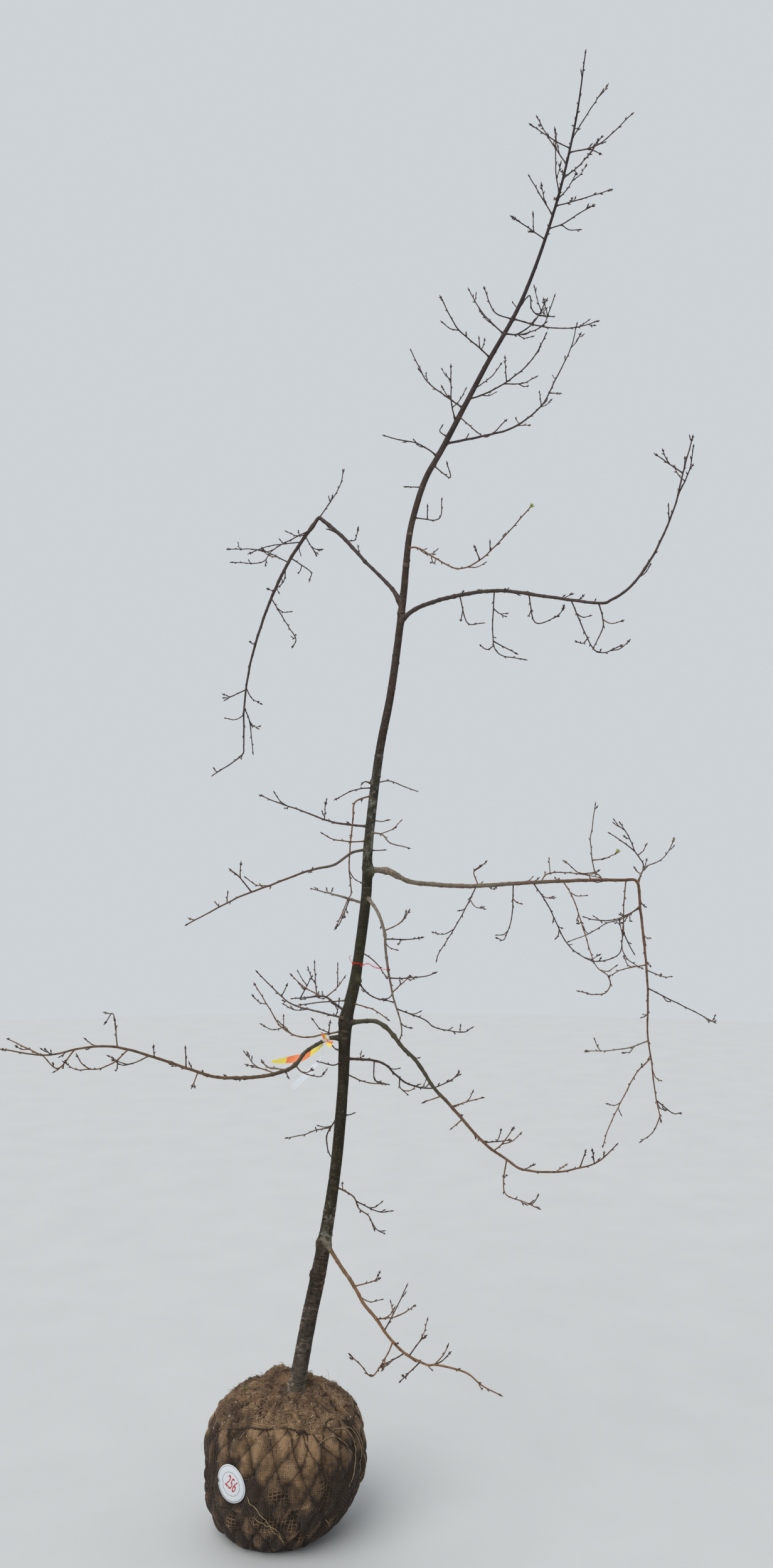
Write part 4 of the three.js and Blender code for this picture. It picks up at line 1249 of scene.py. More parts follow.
make_trunk(bark_finish)
for look, limb in boughs.items():
    names = [part["name"] for part in limb["parts"]]
    wood, twigs, buds = Shape(), Shape(), Buds()
    grow_limb(limb, look, wood, twigs, buds)
    if look == "rail":
        *_, pale_twig, green_twig = limb["parts"][-1]["sides"]
        place, heading = pale_twig.places(pale_twig.end)
        buds.add(place - heading, heading, 21, 9.5, PALE)
        opening_bud(buds, green_twig)
    wood.piece(f"{look}_limb", [bough_finish], "bough_bark", *names)
    twigs.piece(f"{look}_fine_twigs", twig_finishes, "twigs", *names[1:])
    buds.piece(f"{look}_buds", *names[1:])
for zone, shown in zones.items():
    names = [limb["parts"][0]["name"] for limb in shown]
    twigs, buds = Shape(), Buds()
    for limb in shown + small_shoots[zone]:
        grow_limb(limb, zone, None, twigs, buds)
    if zone == "top":
        leader_buds(twigs, buds)
    if zone == "middle":
        opening_bud(buds, shown[0]["stem"])
    twigs.piece(f"{zone}_fine_twigs", twig_finishes, "twigs", *names)
    buds.piece(f"{zone}_buds", *names)


# Root ball: its outline as a line of radius, shift to the right and height, from underneath to the trunk
BALL_FOOT = [[0, 0, -2], [0, 90, -2]]
BALL_TOP = [[429, 70, 45], [426, 16, 61]]
profile = path_through([[r, shift, height] for height, r, shift in BALL_FOOT + BALL_OUTLINE + BALL_TOP], 4)
FOOT_RUN = profile.run[np.argmax(profile.points[:, 2] > 1)]
# Radii that turn bearings into lengths: for lumps and the label, for threads and folds, for open weave
SPOT_RADIUS, THREAD_RADIUS, WEAVE_RADIUS = 250, 245, 235
THREAD_PITCH = 5.9
BAG_SIDES, BAG_RINGS = 320, 180

# The cord round the neck: bearing from the ball's middle, and height
NECK = [
    [-180, 352], [-150, 350], [-135, 366], [-121, 381], [-105, 384], [-88, 389], [-79, 383], [-73, 378],
    [-64, 368], [-54, 368], [-47, 386], [-40, 388], [-32, 377], [-20, 358], [20, 366], [70, 380],
    [120, 374], [150, 360], [180, 352],
]
KNOT_BEARING = math.radians(-73)
# The net: lines of each hand, how tall its meshes are, steps along a line, and rows of crossings
NET_COLUMNS = 21
NET_TALL = 124
NET_STEP = 3.6
NET_ROWS = range(1, 9)

# Folds on the top: places to the right and to the back, half width, and rise
# A raised fold is also painted paler and a sunk one darker: painted light and shade
FOLDS = [
    [[(126, 35), (155, -21), (181, -59), (210, -85)], 6, -13], [[(112, 45), (148, -8), (172, -46)], 7, 5],
    [[(132, 40), (172, -10), (203, -50)], 7, 6],
    [[(-108, -118), (-72, -110), (-30, -92), (20, -82), (62, -80)], 9, 8],
    [[(-120, -100), (-76, -92), (-32, -76), (14, -66)], 6, -7],
    [[(85, -70), (120, -100), (150, -128)], 6, 5], [[(104, -52), (140, -88), (176, -112)], 5, -6],
    [[(95, -60), (128, -112), (140, -150)], 4, -5], [[(60, -75), (75, -120), (84, -165)], 5, -4],
    [[(30, -60), (20, -110), (5, -160)], 6, -4], [[(-20, 20), (-60, 5), (-110, 8)], 9, 6],
    [[(0, 40), (-50, 50), (-100, 70)], 7, -6], [[(40, 60), (10, 100), (-40, 130)], 9, 6],
    [[(100, 40), (120, 80), (150, 110)], 8, 5], [[(70, 70), (80, 120), (90, 160)], 7, -6],
]

# Folds on the side: bearings and heights, half width, and rise
# A raised fold is also painted paler and a sunk one darker: painted light and shade
SIDE_FOLDS = [
    [[(-92, 372), (-84, 364), (-77, 370)], 6, 5], [[(-46, 352), (-38, 357), (-33, 346)], 6, 5],
    [[(-81, 168), (-75, 172), (-68, 181)], 6, 6], [[(-113, 186), (-106, 196), (-100, 202)], 6, 5],
    [[(-61, 148), (-58, 158), (-57, 172)], 6, 6], [[(-77, 78), (-74, 90), (-70, 102)], 6, 5],
    [[(-122, 168), (-112, 150), (-105, 120)], 7, 5], [[(-136, 160), (-127, 150), (-118, 156)], 7, 4],
    [[(-165, 340), (-162, 260), (-166, 160)], 7, -6],
    [[(-156, 340), (-153, 280), (-156, 200), (-152, 110)], 6, 5],
    [[(-148, 330), (-146, 240), (-149, 150)], 6, -5], [[(-40, 150), (-46, 100), (-52, 60)], 8, -5],
    [[(30, 330), (36, 250), (30, 160)], 8, 5], [[(100, 320), (94, 240), (100, 150)], 8, -6],
    [[(160, 330), (154, 250), (162, 170)], 8, 6],
]

# Places where the weave has opened: bearing, height, half width and half height
OPEN_WEAVE = [
    [-90, 213, 34, 22], [-97, 125, 52, 36], [-80, 128, 30, 34], [-56, 212, 24, 46], [-118, 418, 24, 14],
    [-125, 110, 26, 24], [-66, 70, 40, 20], [40, 160, 50, 40], [120, 220, 40, 30], [175, 120, 45, 35],
]

# Darker and paler places on the burlap: bearing, height, half width in degrees, half height and change
# The dark ones at bearings -30 and -160 are painted shade on the flanks, the pale ones at -92, -60 and -72
# painted light on the front; the others are stains
SHADE_LIGHT_AND_STAINS = [
    [-30, 215, 25, 110, -0.6], [-160, 220, 24, 130, -0.5], [-114, 225, 17, 70, -0.4],
    [-106, 165, 14, 26, -0.3], [-92, 325, 20, 42, 0.3], [-60, 330, 14, 36, 0.3], [-72, 395, 40, 24, 0.25],
    [-78, 250, 12, 40, 0.2], [-100, 60, 40, 30, 0.12], [-130, 400, 22, 20, -0.25], [20, 210, 16, 80, -0.2],
    [60, 150, 30, 60, 0.2], [110, 90, 30, 50, 0.22], [150, 280, 30, 70, 0.15], [-172, 70, 16, 40, 0.2],
]
# Burlap colours dealt out by paleness, so their steps carry painted light and shade as well as the cloth's
# own tone
BURLAP_COLOURS = {
    "shaded_and_soiled_burlap": (0.034, 0.02, 0.0115),
    "dark_burlap": (0.064, 0.038, 0.02),
    "brown_burlap": (0.108, 0.064, 0.033),
    "burlap": (0.168, 0.1, 0.052),
    "pale_burlap": (0.255, 0.16, 0.086),
    "orange_burlap": (0.205, 0.11, 0.052),
}
# How pale each next colour of the burlap is
BURLAP_STEPS = [0.18, 0.34, 0.52, 0.72]
TAN, WARM_TAN, TOP_SHADE = (0.195, 0.124, 0.07), (0.205, 0.119, 0.061), (0.05, 0.032, 0.022)
SIDE_SHADE, SIDE_LIGHT = (0.025, 0.0155, 0.0095), (0.28, 0.175, 0.095)


def nearest_gap(places, line):
    """How far places are from a line of joints, seen from above."""
    gaps = []
    for start, end in zip(np.array(line, float), np.array(line[1:], float)):
        way = end - start
        share = np.clip(((places - start) @ way) / (way @ way), 0, 1)
        gaps.append(np.linalg.norm(places - start - share[..., None] * way, axis=-1))
    return np.min(gaps, axis=0)


def turn_between(angles, bearing):
    return (np.degrees(angles) - bearing + 180) % 360 - 180


def run_at_height(heights):
    rising = profile.run > FOOT_RUN
    return np.interp(heights, profile.points[rising, 2].clip(0, BALL_HEIGHT), profile.run[rising])


def neck_run(angles):
    return run_at_height(np.interp(turn_between(angles, 0), *zip(*NECK)))


def spots_on(angles, runs):
    return np.stack([np.cos(angles) * SPOT_RADIUS, np.sin(angles) * SPOT_RADIUS, runs], -1)


def height_at(runs):
    return profile.places(runs)[0][..., 2]


def net_bend(angles, runs):
    """How far the net's lines are pulled aside: they wander, and bunch up at the knot."""
    spots = spots_on(angles, runs)
    aside = np.radians(turn_between(angles, math.degrees(KNOT_BEARING)))
    near = window(aside, neck_run(angles) - runs, 0.62, 85)
    around = 0.05 * noise(spots, (70, 70, 80), 31) - 0.72 * aside * near
    return around, 11 * noise(spots, (80, 80, 90), 32)


def net_pillow(angles, runs):
    """How far the burlap swells out between the net's lines: 0 on a line to 1 between them."""
    around, along = angles, runs
    for _ in range(4):
        bend = net_bend(around, along)
        around, along = angles - bend[0], runs - bend[1]
    column = around / (2 * math.pi) * NET_COLUMNS
    row = (along - FOOT_RUN) / NET_TALL
    return np.sqrt(np.abs(np.sin(math.pi * (column + row)) * np.sin(math.pi * (column - row))))


def side_folds(angles, heights):
    """The rise of the folds on the side."""
    rise = np.zeros(np.shape(angles))
    for line, wide, change in SIDE_FOLDS:
        middle = line[1][0]
        spots = np.stack([np.radians(turn_between(angles, middle)) * THREAD_RADIUS, heights], -1)
        joints = [(math.radians(bearing - middle) * THREAD_RADIUS, height) for bearing, height in line]
        rise += change * bell(nearest_gap(spots, joints), wide)
    return rise


def top_folds(places):
    """The rise of the folds on the top."""
    rise = np.zeros(places.shape[:-1])
    for line, wide, change in FOLDS:
        rise += change * bell(nearest_gap(places[..., :2], line), wide)
    return rise


def burlap_relief(angles, runs, places):
    """The rise of the cloth: pillows and creases below the neck, the cord's dent, and matted folds above."""
    spots, neck = spots_on(angles, runs), neck_run(angles)
    drape = 3.2 * noise(spots, (46, 46, 60), 33) + 2.4 * noise(spots, (15, 15, 75), 34)
    drape = drape + side_folds(angles, height_at(runs))
    creases = -4.5 * bell(noise(spots, (32, 32, 75), 35), 0.14)
    gather = 3.4 * noise(spots, (9, 9, 90), 36) * np.exp(-np.abs(neck - runs) / 60)
    pillow = 8.5 * net_pillow(angles, runs) * (1 + 0.35 * noise(spots, (50, 50, 60), 37))
    below = ramp(runs, neck - 2, neck - 34) * (pillow - 4.5 + drape + creases) + gather
    tied = 0.3 + 0.7 * np.exp(-((turn_between(angles, -86) / 46) ** 4))
    tied = tied * (0.75 + 0.5 * noise(spots, 38, 62))
    cord = tied * (6 * bell(runs - neck - 16, 13) - 7 * bell(runs - neck, 7))
    matted = 7.5 * noise(places, (26, 26, 40), 38) + 4.2 * noise(places, (9, 9, 16), 39)
    matted = matted - 7.5 * bell(noise(places, (30, 30, 60), 40), 0.13)
    matted = matted - 4 * bell(noise(places, (17, 17, 40), 63), 0.12) + top_folds(places)
    mound = 25 * window(places[..., 0] - 12, places[..., 1] - 98, 62, 52)
    far_trunk = ramp(np.hypot(places[..., 0] - 61, places[..., 1]), 26, 60)
    rise = below + cord + ramp(runs, neck, neck + 26) * (matted * (0.35 + 0.65 * far_trunk) + mound)
    return rise * ramp(runs, FOOT_RUN - 12, FOOT_RUN + 45)


def burlap(angles, runs, lift=0.0, taut=None):
    """Places on the burlap, raised by a lift. A taut sheet over it has one relief throughout."""
    found, headings = profile.places(runs)
    radius, shift, height = np.moveaxis(found, -1, 0)
    belly = np.sin(np.clip(height / BALL_HEIGHT, 0, 1) * math.pi)
    lumps = np.sin(2 * angles + 1) + 0.6 * np.sin(5 * angles + height / 60)
    girth = radius * (1 + belly * (BALL_LUMPS * lumps + BALL_PLEATS * np.sin(11 * angles + height / 90)))
    flat = np.stack([girth * np.cos(angles) + shift, girth * np.sin(angles), height], -1)
    rise = lift + (burlap_relief(angles, runs, flat) if taut is None else taut)
    girth = girth + headings[..., 2] * rise
    height = np.maximum(height - headings[..., 0] * rise, 0.0)
    return np.stack([girth * np.cos(angles) + shift, girth * np.sin(angles), height], -1)


def weave_opening(angles, runs):
    """How far the weave has opened, from 0 to 1."""
    heights, seen = height_at(runs), np.zeros(np.shape(angles))
    for bearing, height, wide, tall in OPEN_WEAVE:
        aside = np.radians(turn_between(angles, bearing)) * WEAVE_RADIUS
        seen = np.maximum(seen, window(aside, heights - height, wide, tall))
    return seen


def paleness(angles, runs):
    """How pale the burlap is, from 0 to 1: darker towards the bottom as painted shade with some soil, with
    painted shade on its flanks and painted light on its front, and paler on its pillows and raised folds as
    painted light.
    """
    radius, shift, heights = np.moveaxis(profile.places(runs)[0], -1, 0)
    spots = spots_on(angles, runs)
    # Darker towards the bottom: painted shade, with some soil
    pale = 0.57 - 0.42 * ramp(heights, 370, 100)
    folds = top_folds(np.stack([radius * np.cos(angles) + shift, radius * np.sin(angles)], -1))
    netted = runs < neck_run(angles)
    # A little darker below the neck; above it, paler on the raised folds of the top: painted light
    pale = pale + np.where(netted, -0.09, 0.055 * folds)
    # Painted shade on the flanks and painted light on the front, with stains of the cloth's own
    for bearing, height, wide, tall, change in SHADE_LIGHT_AND_STAINS:
        pale = pale + change * window(turn_between(angles, bearing), heights - height, wide, tall)
    # Paler on the swollen pillows and darker towards the net's sunk lines, with some dirt along them, and
    # paler on raised side folds: painted light and shade
    pale = pale + 0.52 * (net_pillow(angles, runs) - 0.6) * netted + 0.05 * side_folds(angles, heights)
    pale = pale + 0.3 * noise(spots, 46, 41) + 0.26 * noise(spots, (13, 13, 16), 42)
    return np.clip(pale, 0, 1)


def felted(angles, runs):
    """How far the threads are lost in felt and dried mud, from 0 for open weave to 1 for none seen."""
    spots = spots_on(angles, runs)
    felt = ramp(height_at(runs), 130, 270) * (0.8 + 0.55 * noise(spots, (36, 36, 44), 46))
    return np.clip(felt + 0.25 * noise(spots, 15, 47) - weave_opening(angles, runs), 0, 1)


def make_bag(finish):
    """The bag itself, mostly hidden by its threads: dark between them, painted shade with some soil, and
    matted with tan fibre on top.
    """
    runs = np.linspace(0, profile.end, BAG_RINGS)
    runs[0] = 2.0
    angles, runs = np.meshgrid(circle(BAG_SIDES), runs)
    lost, pale, neck = felted(angles, runs), paleness(angles, runs), neck_run(angles)
    rings = burlap(angles, runs, 1.35 * lost - 0.9)
    felt = ramp(noise(rings, 26, 43) + 0.5 * noise(rings, 7, 44), -0.4, 0.5)
    warm = blend(TAN, WARM_TAN, ramp(noise(rings, 38, 48), -0.1, 0.4))
    # On top, painted shade where the felt is thin; on the side, painted shade with some soil between the
    # threads, paler where felt hides them
    top = blend(TOP_SHADE, warm, felt * (0.35 + 0.65 * pale))
    side = blend(SIDE_SHADE, SIDE_LIGHT, pale * (0.2 + 0.8 * lost))
    tint = blend(side, top, ramp(runs, neck - 8, neck + 22))
    shape = Shape()
    add_tinted_tube(shape, rings, tint * (1 + 0.3 * noise(spots_on(angles, runs), 6, 45))[..., None])
    shape.piece("burlap_bag", [finish], "root_ball", "root_ball")


def add_threads(shape, angles, runs, lifts, upright):
    """Rows of threads over the bag, each a flat prism whose faces take the colour of their place.

    Where the weave has opened, every other thread is under the bag.
    """
    opening, lost = weave_opening(angles, runs), felted(angles, runs)
    rows = np.arange(len(angles))
    lifts = lifts * (1 - 0.6 * lost) - 4 * (rows % 2)[:, None] * ramp(opening, 0.45, 0.6)
    width = THREAD_PITCH * (0.46 - 0.19 * opening + 0.05 * noise(spots_on(angles, runs), 9, 51))
    aside, along = (width / THREAD_RADIUS, 0) if upright else (0, width)
    low = burlap(angles - aside, runs + along, lifts - 0.5)
    high = burlap(angles, runs, lifts + 1.0)
    far = burlap(angles + aside, runs - along, lifts - 0.5)
    own = lattice(np.stack([rows, rows, rows], -1), 52)[:, None]
    # The threads take the paleness of their place, with its painted light and shade, and are paler where the
    # weave has opened
    pale = paleness(angles, runs) + 0.1 * own + 0.32 * opening
    middles = (pale[:, 1:] + pale[:, :-1]) / 2
    for ring, slots in zip(np.stack([low, high, far], 2), np.searchsorted(BURLAP_STEPS, middles)):
        shape.add(*closed_tube(ring), finish=np.repeat(slots, 3), end_finish=slots[0])


def make_threads(finishes):
    """The cloth's weave: upright threads, and level ones that close on themselves."""
    count = 2 * round(math.pi * THREAD_RADIUS / THREAD_PITCH)
    runs = np.arange(FOOT_RUN + 8, profile.end - 78, THREAD_PITCH)
    order = np.arange(count)[:, None] + np.arange(len(runs))[None]
    weave = np.where(order % 2, 0.45, -0.45)
    angles, heights = np.meshgrid(circle(count), runs, indexing="ij")
    spots, neck = spots_on(angles, heights), neck_run(angles)
    loose = 1 + 2.2 * ramp(heights, neck, neck + 40) + 1.4 * weave_opening(angles, heights)
    around = angles + 0.022 * noise(spots, 50, 53) + 0.006 * loose * noise(spots, (9, 9, 22), 54)
    along = heights + 6.5 * noise(spots, 60, 55) + 1.3 * loose * noise(spots, (22, 22, 9), 56)
    upright, level = Shape(), Shape()
    add_threads(upright, around, along, weave, True)
    closed = np.append(np.arange(count), 0)
    turns = np.zeros(count + 1)
    turns[-1] = 2 * math.pi
    add_threads(level, around.T[:, closed] + turns, along.T[:, closed], -weave.T[:, closed], False)
    upright.piece("upright_threads", finishes, "root_ball", "root_ball")
    level.piece("level_threads", finishes, "root_ball", "root_ball")


# A direction that no strand follows
ODD_WAY = (0.31, 0.17, 0.93)


def add_strands(shape, lines, radii, sides, finish=0, twist=0.0, flat=1.0):
    """Closed strands through one or several rows of places. A flattened one can be twisted along it."""
    lines = np.reshape(lines, (-1, *np.shape(lines)[-2:]))
    count, length = lines.shape[:2]
    radii = np.broadcast_to(radii, (count, length))[..., None, None]
    headings = unit(np.gradient(lines, axis=1))
    aside = unit(np.cross(headings, ODD_WAY))
    above = np.cross(headings, aside)
    angles = circle(sides)
    size = np.sqrt(np.cos(angles) ** 2 + (flat * np.sin(angles)) ** 2)[:, None]
    out = spokes(aside[:, :, None], above[:, :, None], angles + twist * np.arange(length)[:, None])
    rings = lines[:, :, None] + out * size * radii
    rings[..., 2] = np.maximum(rings[..., 2], 0)
    for ring in rings:
        shape.add(*closed_tube(ring), finish=finish)


def bent(angles, runs):
    """Places on the net's plain lines, moved to where the net is pulled."""
    around, along = net_bend(angles, runs)
    return angles + around, runs + along


def net_line(index, hand):
    runs = np.arange(FOOT_RUN + 2, profile.end, NET_STEP)
    columns = index - hand * (runs - FOOT_RUN) / NET_TALL
    angles, runs = bent(columns / NET_COLUMNS * 2 * math.pi, runs)
    kept = (runs < neck_run(angles) + 2) & (runs > FOOT_RUN + 1)
    return angles[kept], runs[kept]


def add_crossings(shape):
    """The knots where two lines of the net cross."""
    crossings = []
    for index, row in itertools.product(range(NET_COLUMNS * 2), NET_ROWS):
        if (index + row) % 2 == 0:
            crossings.append((index / 2 / NET_COLUMNS * 2 * math.pi, FOOT_RUN + row / 2 * NET_TALL))
    angles, runs = bent(*np.array(crossings).T)
    kept = runs < neck_run(angles) - 6
    reach = np.array([-3.2, -1.6, 0, 1.6, 3.2]) * 1.5
    for angle, run in zip(angles[kept], runs[kept]):
        line = burlap(np.full(5, angle), run + reach, 1.9)
        add_strands(shape, line, [0.8, 2.7, 3.3, 2.7, 0.8], 6)


def add_neck_cord(shape):
    """Two strands wound round the neck, partly sunk in the cloth, and the knot with its two ends."""
    around = np.linspace(KNOT_BEARING, KNOT_BEARING + 2 * math.pi, 520)
    spots = spots_on(around, 0 * around)
    sunk = 5 * ramp(noise(spots, 34, 64), 0.0, 0.35)
    for phase in (0, math.pi):
        turns = np.arange(len(around)) * 0.62 + phase
        runs = neck_run(around) + 1.5 * np.cos(turns) + 2.5 * noise(spots, 60, 61)
        add_strands(shape, burlap(around, runs, 2.4 + 1.3 * np.sin(turns) - sunk, taut=-3.0), 1.7, 5)
    knot = burlap(KNOT_BEARING, neck_run(KNOT_BEARING), 4, taut=-1.0)
    out = direction(math.degrees(KNOT_BEARING), 0)
    across = np.cross(UP, out)
    turn = np.linspace(0, 2 * math.pi, 40)[:, None]
    wide = 2 + np.cos(2 * turn)
    wound = across * wide * np.cos(turn) * 4.4 + UP * wide * np.sin(turn) * 2.8
    add_strands(shape, knot + wound + out * (1.5 + 2.6 * np.sin(3 * turn)), 2.0, 6)
    share = np.linspace(0, 1, 14)[:, None]
    for hand in (-1, 1):
        fall = across * hand * (4 + 26 * share) - UP * (3 + 22 * share**1.5)
        add_strands(shape, knot + out * (3 + 3 * np.sin(share * 5)) + fall, 1.7, 5, twist=0.8, flat=0.7)


def make_net(finish):
    """The net of twine over the burlap, with a knot where two lines cross, and the cord round the neck."""
    shape = Shape()
    for hand, index in itertools.product((1, -1), range(NET_COLUMNS)):
        line = burlap(*net_line(index, hand), 2.0 + 0.4 * hand)
        add_strands(shape, line, 2.0, 4, twist=0.75, flat=0.7)
    add_crossings(shape)
    add_neck_cord(shape)
    shape.piece("net", [finish], "root_ball", "root_ball")


def fibres(count, low, high, length, out_share, seed):
    """Curled fibres that start anywhere between two shares of the way from the neck to the trunk."""
    lots = np.random.default_rng(seed)
    angles = lots.uniform(-math.pi, math.pi, count)
    neck = neck_run(angles)
    runs = neck + (profile.end - 40 - neck) * lots.uniform(low, high, count)
    heading = lots.uniform(0, 2 * math.pi, count)[:, None]
    curl = lots.normal(0, 1.1, count)[:, None]
    reach = lots.uniform(*length, count)[:, None]
    rise = np.abs(lots.normal(0, out_share, count))[:, None]
    share = np.linspace(0, 1, 6)
    bend, steps = heading + curl * share, reach / 5
    radius = np.maximum(profile.places(runs)[0][..., 0], 60)[:, None]
    around = angles[:, None] + np.cumsum(np.cos(bend) * steps, 1) / radius
    along = runs[:, None] + np.cumsum(np.sin(bend) * steps, 1)
    lift = 0.8 + rise * reach * share * (1.6 - share)
    return burlap(around, np.clip(along, FOOT_RUN + 8, profile.end - 20), lift)


# Batches of fibres: how many, from and to which share of the way, shortest and longest, how far they
# stand out, radius, and the finishes they are dealt out to
FIBRES = [
    (1300, 0.0, 1.0, (12, 34), 0.10, 0.45, (2, 3, 4, 5, 5)),
    (240, 0.05, 1.0, (14, 40), 0.45, 0.38, (2, 3, 5)),
    (160, -0.5, 0.1, (12, 30), 0.25, 0.38, (2, 3, 4, 5)),
    (200, -2.2, 0.0, (8, 22), 0.12, 0.36, (3, 4)),
    (40, 0.1, 0.9, (16, 42), 0.5, 0.6, (6,)),
    (50, 0.0, 1.0, (18, 45), 0.12, 0.7, (6,)),
]


def make_fibres(finishes):
    """Loose fibres of the burlap and fine roots, matted on the top and frayed along the net."""
    shape = Shape()
    for seed, (*batch, radius, slots) in enumerate(FIBRES, 100):
        lines = fibres(*batch, seed)
        for index, slot in enumerate(slots):
            dealt = lines[index :: len(slots)]
            add_strands(shape, dealt, radius * np.array([1, 1, 1, 0.9, 0.8, 0.4]), 3, slot)
    shape.piece("loose_fibres", finishes, "root_ball", "root_ball")


burlap_finishes = [
    finish_of(name, colour, 0.92, 0.15, 1400, 0.5, 0.0003, 0.3, sheen=0.15)
    for name, colour in BURLAP_COLOURS.items()
]
root_finish = finish_of("fine_roots", (0.05, 0.033, 0.026), 0.8, 0.2, *FINE)
twine_finish = finish_of("net_twine", (0.052, 0.036, 0.026), 0.85, 0.2, 1500, 0.5, 0.0003, 0.3)
make_bag(finish_of("matted_bag", None, 0.95, 0.1, 700, 0.6, 0.0012, 0.35, sheen=0.1))
make_threads(burlap_finishes)
make_net(twine_finish)
make_fibres([*burlap_finishes, root_finish])


# Loose strands on the root ball: bearings from its middle and heights, radius, lift and finish
STRAW, ROPE, DARK, CREAM, MOSS = range(5)
LOOSE_STRANDS = [
    [[(-124, 352), (-122, 366), (-119, 380)], 1.5, 2.5, ROPE],
    [
        [(-112, 207), (-110, 193), (-108, 183), (-100, 155), (-91, 104), (-84, 74), (-78, 50)], 1.5, 5.0,
        STRAW,
    ],
    [[(-106, 150), (-98, 128), (-90, 112), (-82, 62), (-79, 44)], 1.2, 5.0, STRAW],
    [[(-44, 366), (-33, 352), (-27, 322), (-24, 300), (-26, 262), (-30, 238), (-34, 188)], 2.6, 4.0, ROPE],
    [[(-36, 360), (-24, 342), (-19, 300), (-17, 250), (-21, 205)], 2.2, 5.0, ROPE],
    [[(-22, 346), (-15, 304), (-12, 241), (-9, 177), (-12, 130)], 2.4, 4.0, ROPE],
    [[(-62, 340), (-50, 352), (-40, 336), (-33, 300), (-31, 276)], 1.8, 4.0, ROPE],
    [[(-50, 108), (-46, 94), (-43, 78)], 2.2, 4.0, ROPE],
    [[(-160, 330), (-157, 280), (-159, 210), (-155, 150)], 2.0, 4.0, DARK],
    [[(-150, 320), (-149, 260), (-152, 200)], 1.8, 4.0, DARK],
    [[(140, 330), (136, 270), (141, 210), (137, 150)], 2.2, 4.0, ROPE],
    [[(60, 350), (66, 300), (62, 240)], 2.0, 4.0, ROPE],
]
CHIP_COUNT = 90
LEAF_COUNT = 26
# How far up the cloth the sprig of moss stands, to the trunk's left
MOSS_RUN = profile.end - 118


def smooth_line(joints, step):
    return path_through(joints, step).points


def make_loose_ends(finishes):
    """Straw, rope strands, chips of bark and straw, and a sprig of moss."""
    shape = Shape()
    for rows, radius, lift, finish in LOOSE_STRANDS:
        bearings, heights, _ = smooth_line([[*row, 0] for row in rows], 4).T
        line = burlap(np.radians(bearings), run_at_height(heights), lift)
        radii = radius * np.interp(np.linspace(0, 1, len(line)), [0, 0.08, 0.85, 1], [0.5, 1, 0.85, 0.4])
        add_strands(shape, line, radii, 5, finish, twist=0.5, flat=0.65)
    lots = np.random.default_rng(31)
    for _ in range(CHIP_COUNT):
        angle, share = math.radians(lots.normal(-85, 62)), lots.uniform(-0.25, 0.85)
        neck = neck_run(angle)
        run = neck + share * (profile.end - 70 - neck)
        way, reach = lots.uniform(0, 2 * math.pi), lots.uniform(2.5, 6.5)
        spread = np.linspace(-1, 1, 4) * reach
        around = angle + spread * math.cos(way) / profile.places(run)[0][0]
        line = burlap(around, run + spread * math.sin(way), 1.6)
        width = lots.uniform(0.8, 1.7)
        add_strands(shape, line, width * np.array([0.5, 1, 0.9, 0.4]), 4, CREAM, flat=0.4)
    root = burlap(np.array([math.pi]), np.array([MOSS_RUN]), 1)[0]
    for _ in range(LEAF_COUNT):
        way = unit(lots.normal(size=3) * (1, 1, 0.5) + UP * 0.9)
        reach, bend = lots.uniform(8, 17), lots.normal(0, 0.25, 3)
        share = np.linspace(0, 1, 5)[:, None]
        leaf = root + lots.normal(0, 6, 3) * (1, 1, 0) + reach * (way * share + bend * share**2)
        add_strands(shape, leaf, 1.1 * np.array([0.5, 1, 1, 0.7, 0.2]), 4, MOSS, flat=0.35)
    shape.piece("loose_ends", finishes, "root_ball", "root_ball")


# The lot label
LABEL_BEARING = math.radians(-126)
LABEL_HEIGHT = 228
LABEL_RADIUS = 53
LABEL_RELIEF = 7.0
LABEL_NUMBER = "256"
NUMBER_SIZE = (27, 52, 0.7)
NUMBER_SLANT = math.radians(-27)
PAPER, INK, NUMBER = range(3)
# Rings of the paper from its back to its middle: share of the radius, and lift
LABEL_RINGS = [(1, 0), (1.005, 0.35), (1, 0.7), (0.8, 0.7), (0.6, 0.7), (0.4, 0.7), (0.2, 0.7), (0.04, 0.7)]


def on_label(across, up, lift):
    """Places on the label, which follows the ball and not its folds, and curls at its left."""
    curl = 0.0016 * np.maximum(-across - 18, 0) ** 2
    run = run_at_height(LABEL_HEIGHT) + up
    return burlap(LABEL_BEARING + across / SPOT_RADIUS, run, lift + curl, taut=LABEL_RELIEF)


def label_ring(share, lift):
    """A ring of the label, a little oval, with a notch at the left."""
    turns = circle(72)
    notch = bell(turns - math.pi * 1.02, 0.09)
    reach = LABEL_RADIUS * (1 - 0.11 * notch - 0.05 * np.cos(2 * (turns - 0.7))) * share
    return on_label(reach * np.cos(turns), reach * np.sin(turns), lift)


def add_loop(shape, lines, radius, sides, finish):
    """A closed ring through places, without ends."""
    headings = unit(np.roll(lines, -1, 0) - np.roll(lines, 1, 0))
    aside = unit(np.cross(headings, ODD_WAY))
    out = spokes(aside[:, None], np.cross(headings, aside)[:, None], circle(sides))
    points = (lines[:, None] + out * radius).reshape(-1, 3)
    shape.add(points, ring_faces(len(lines) + 1, sides) % len(points), finish=finish)


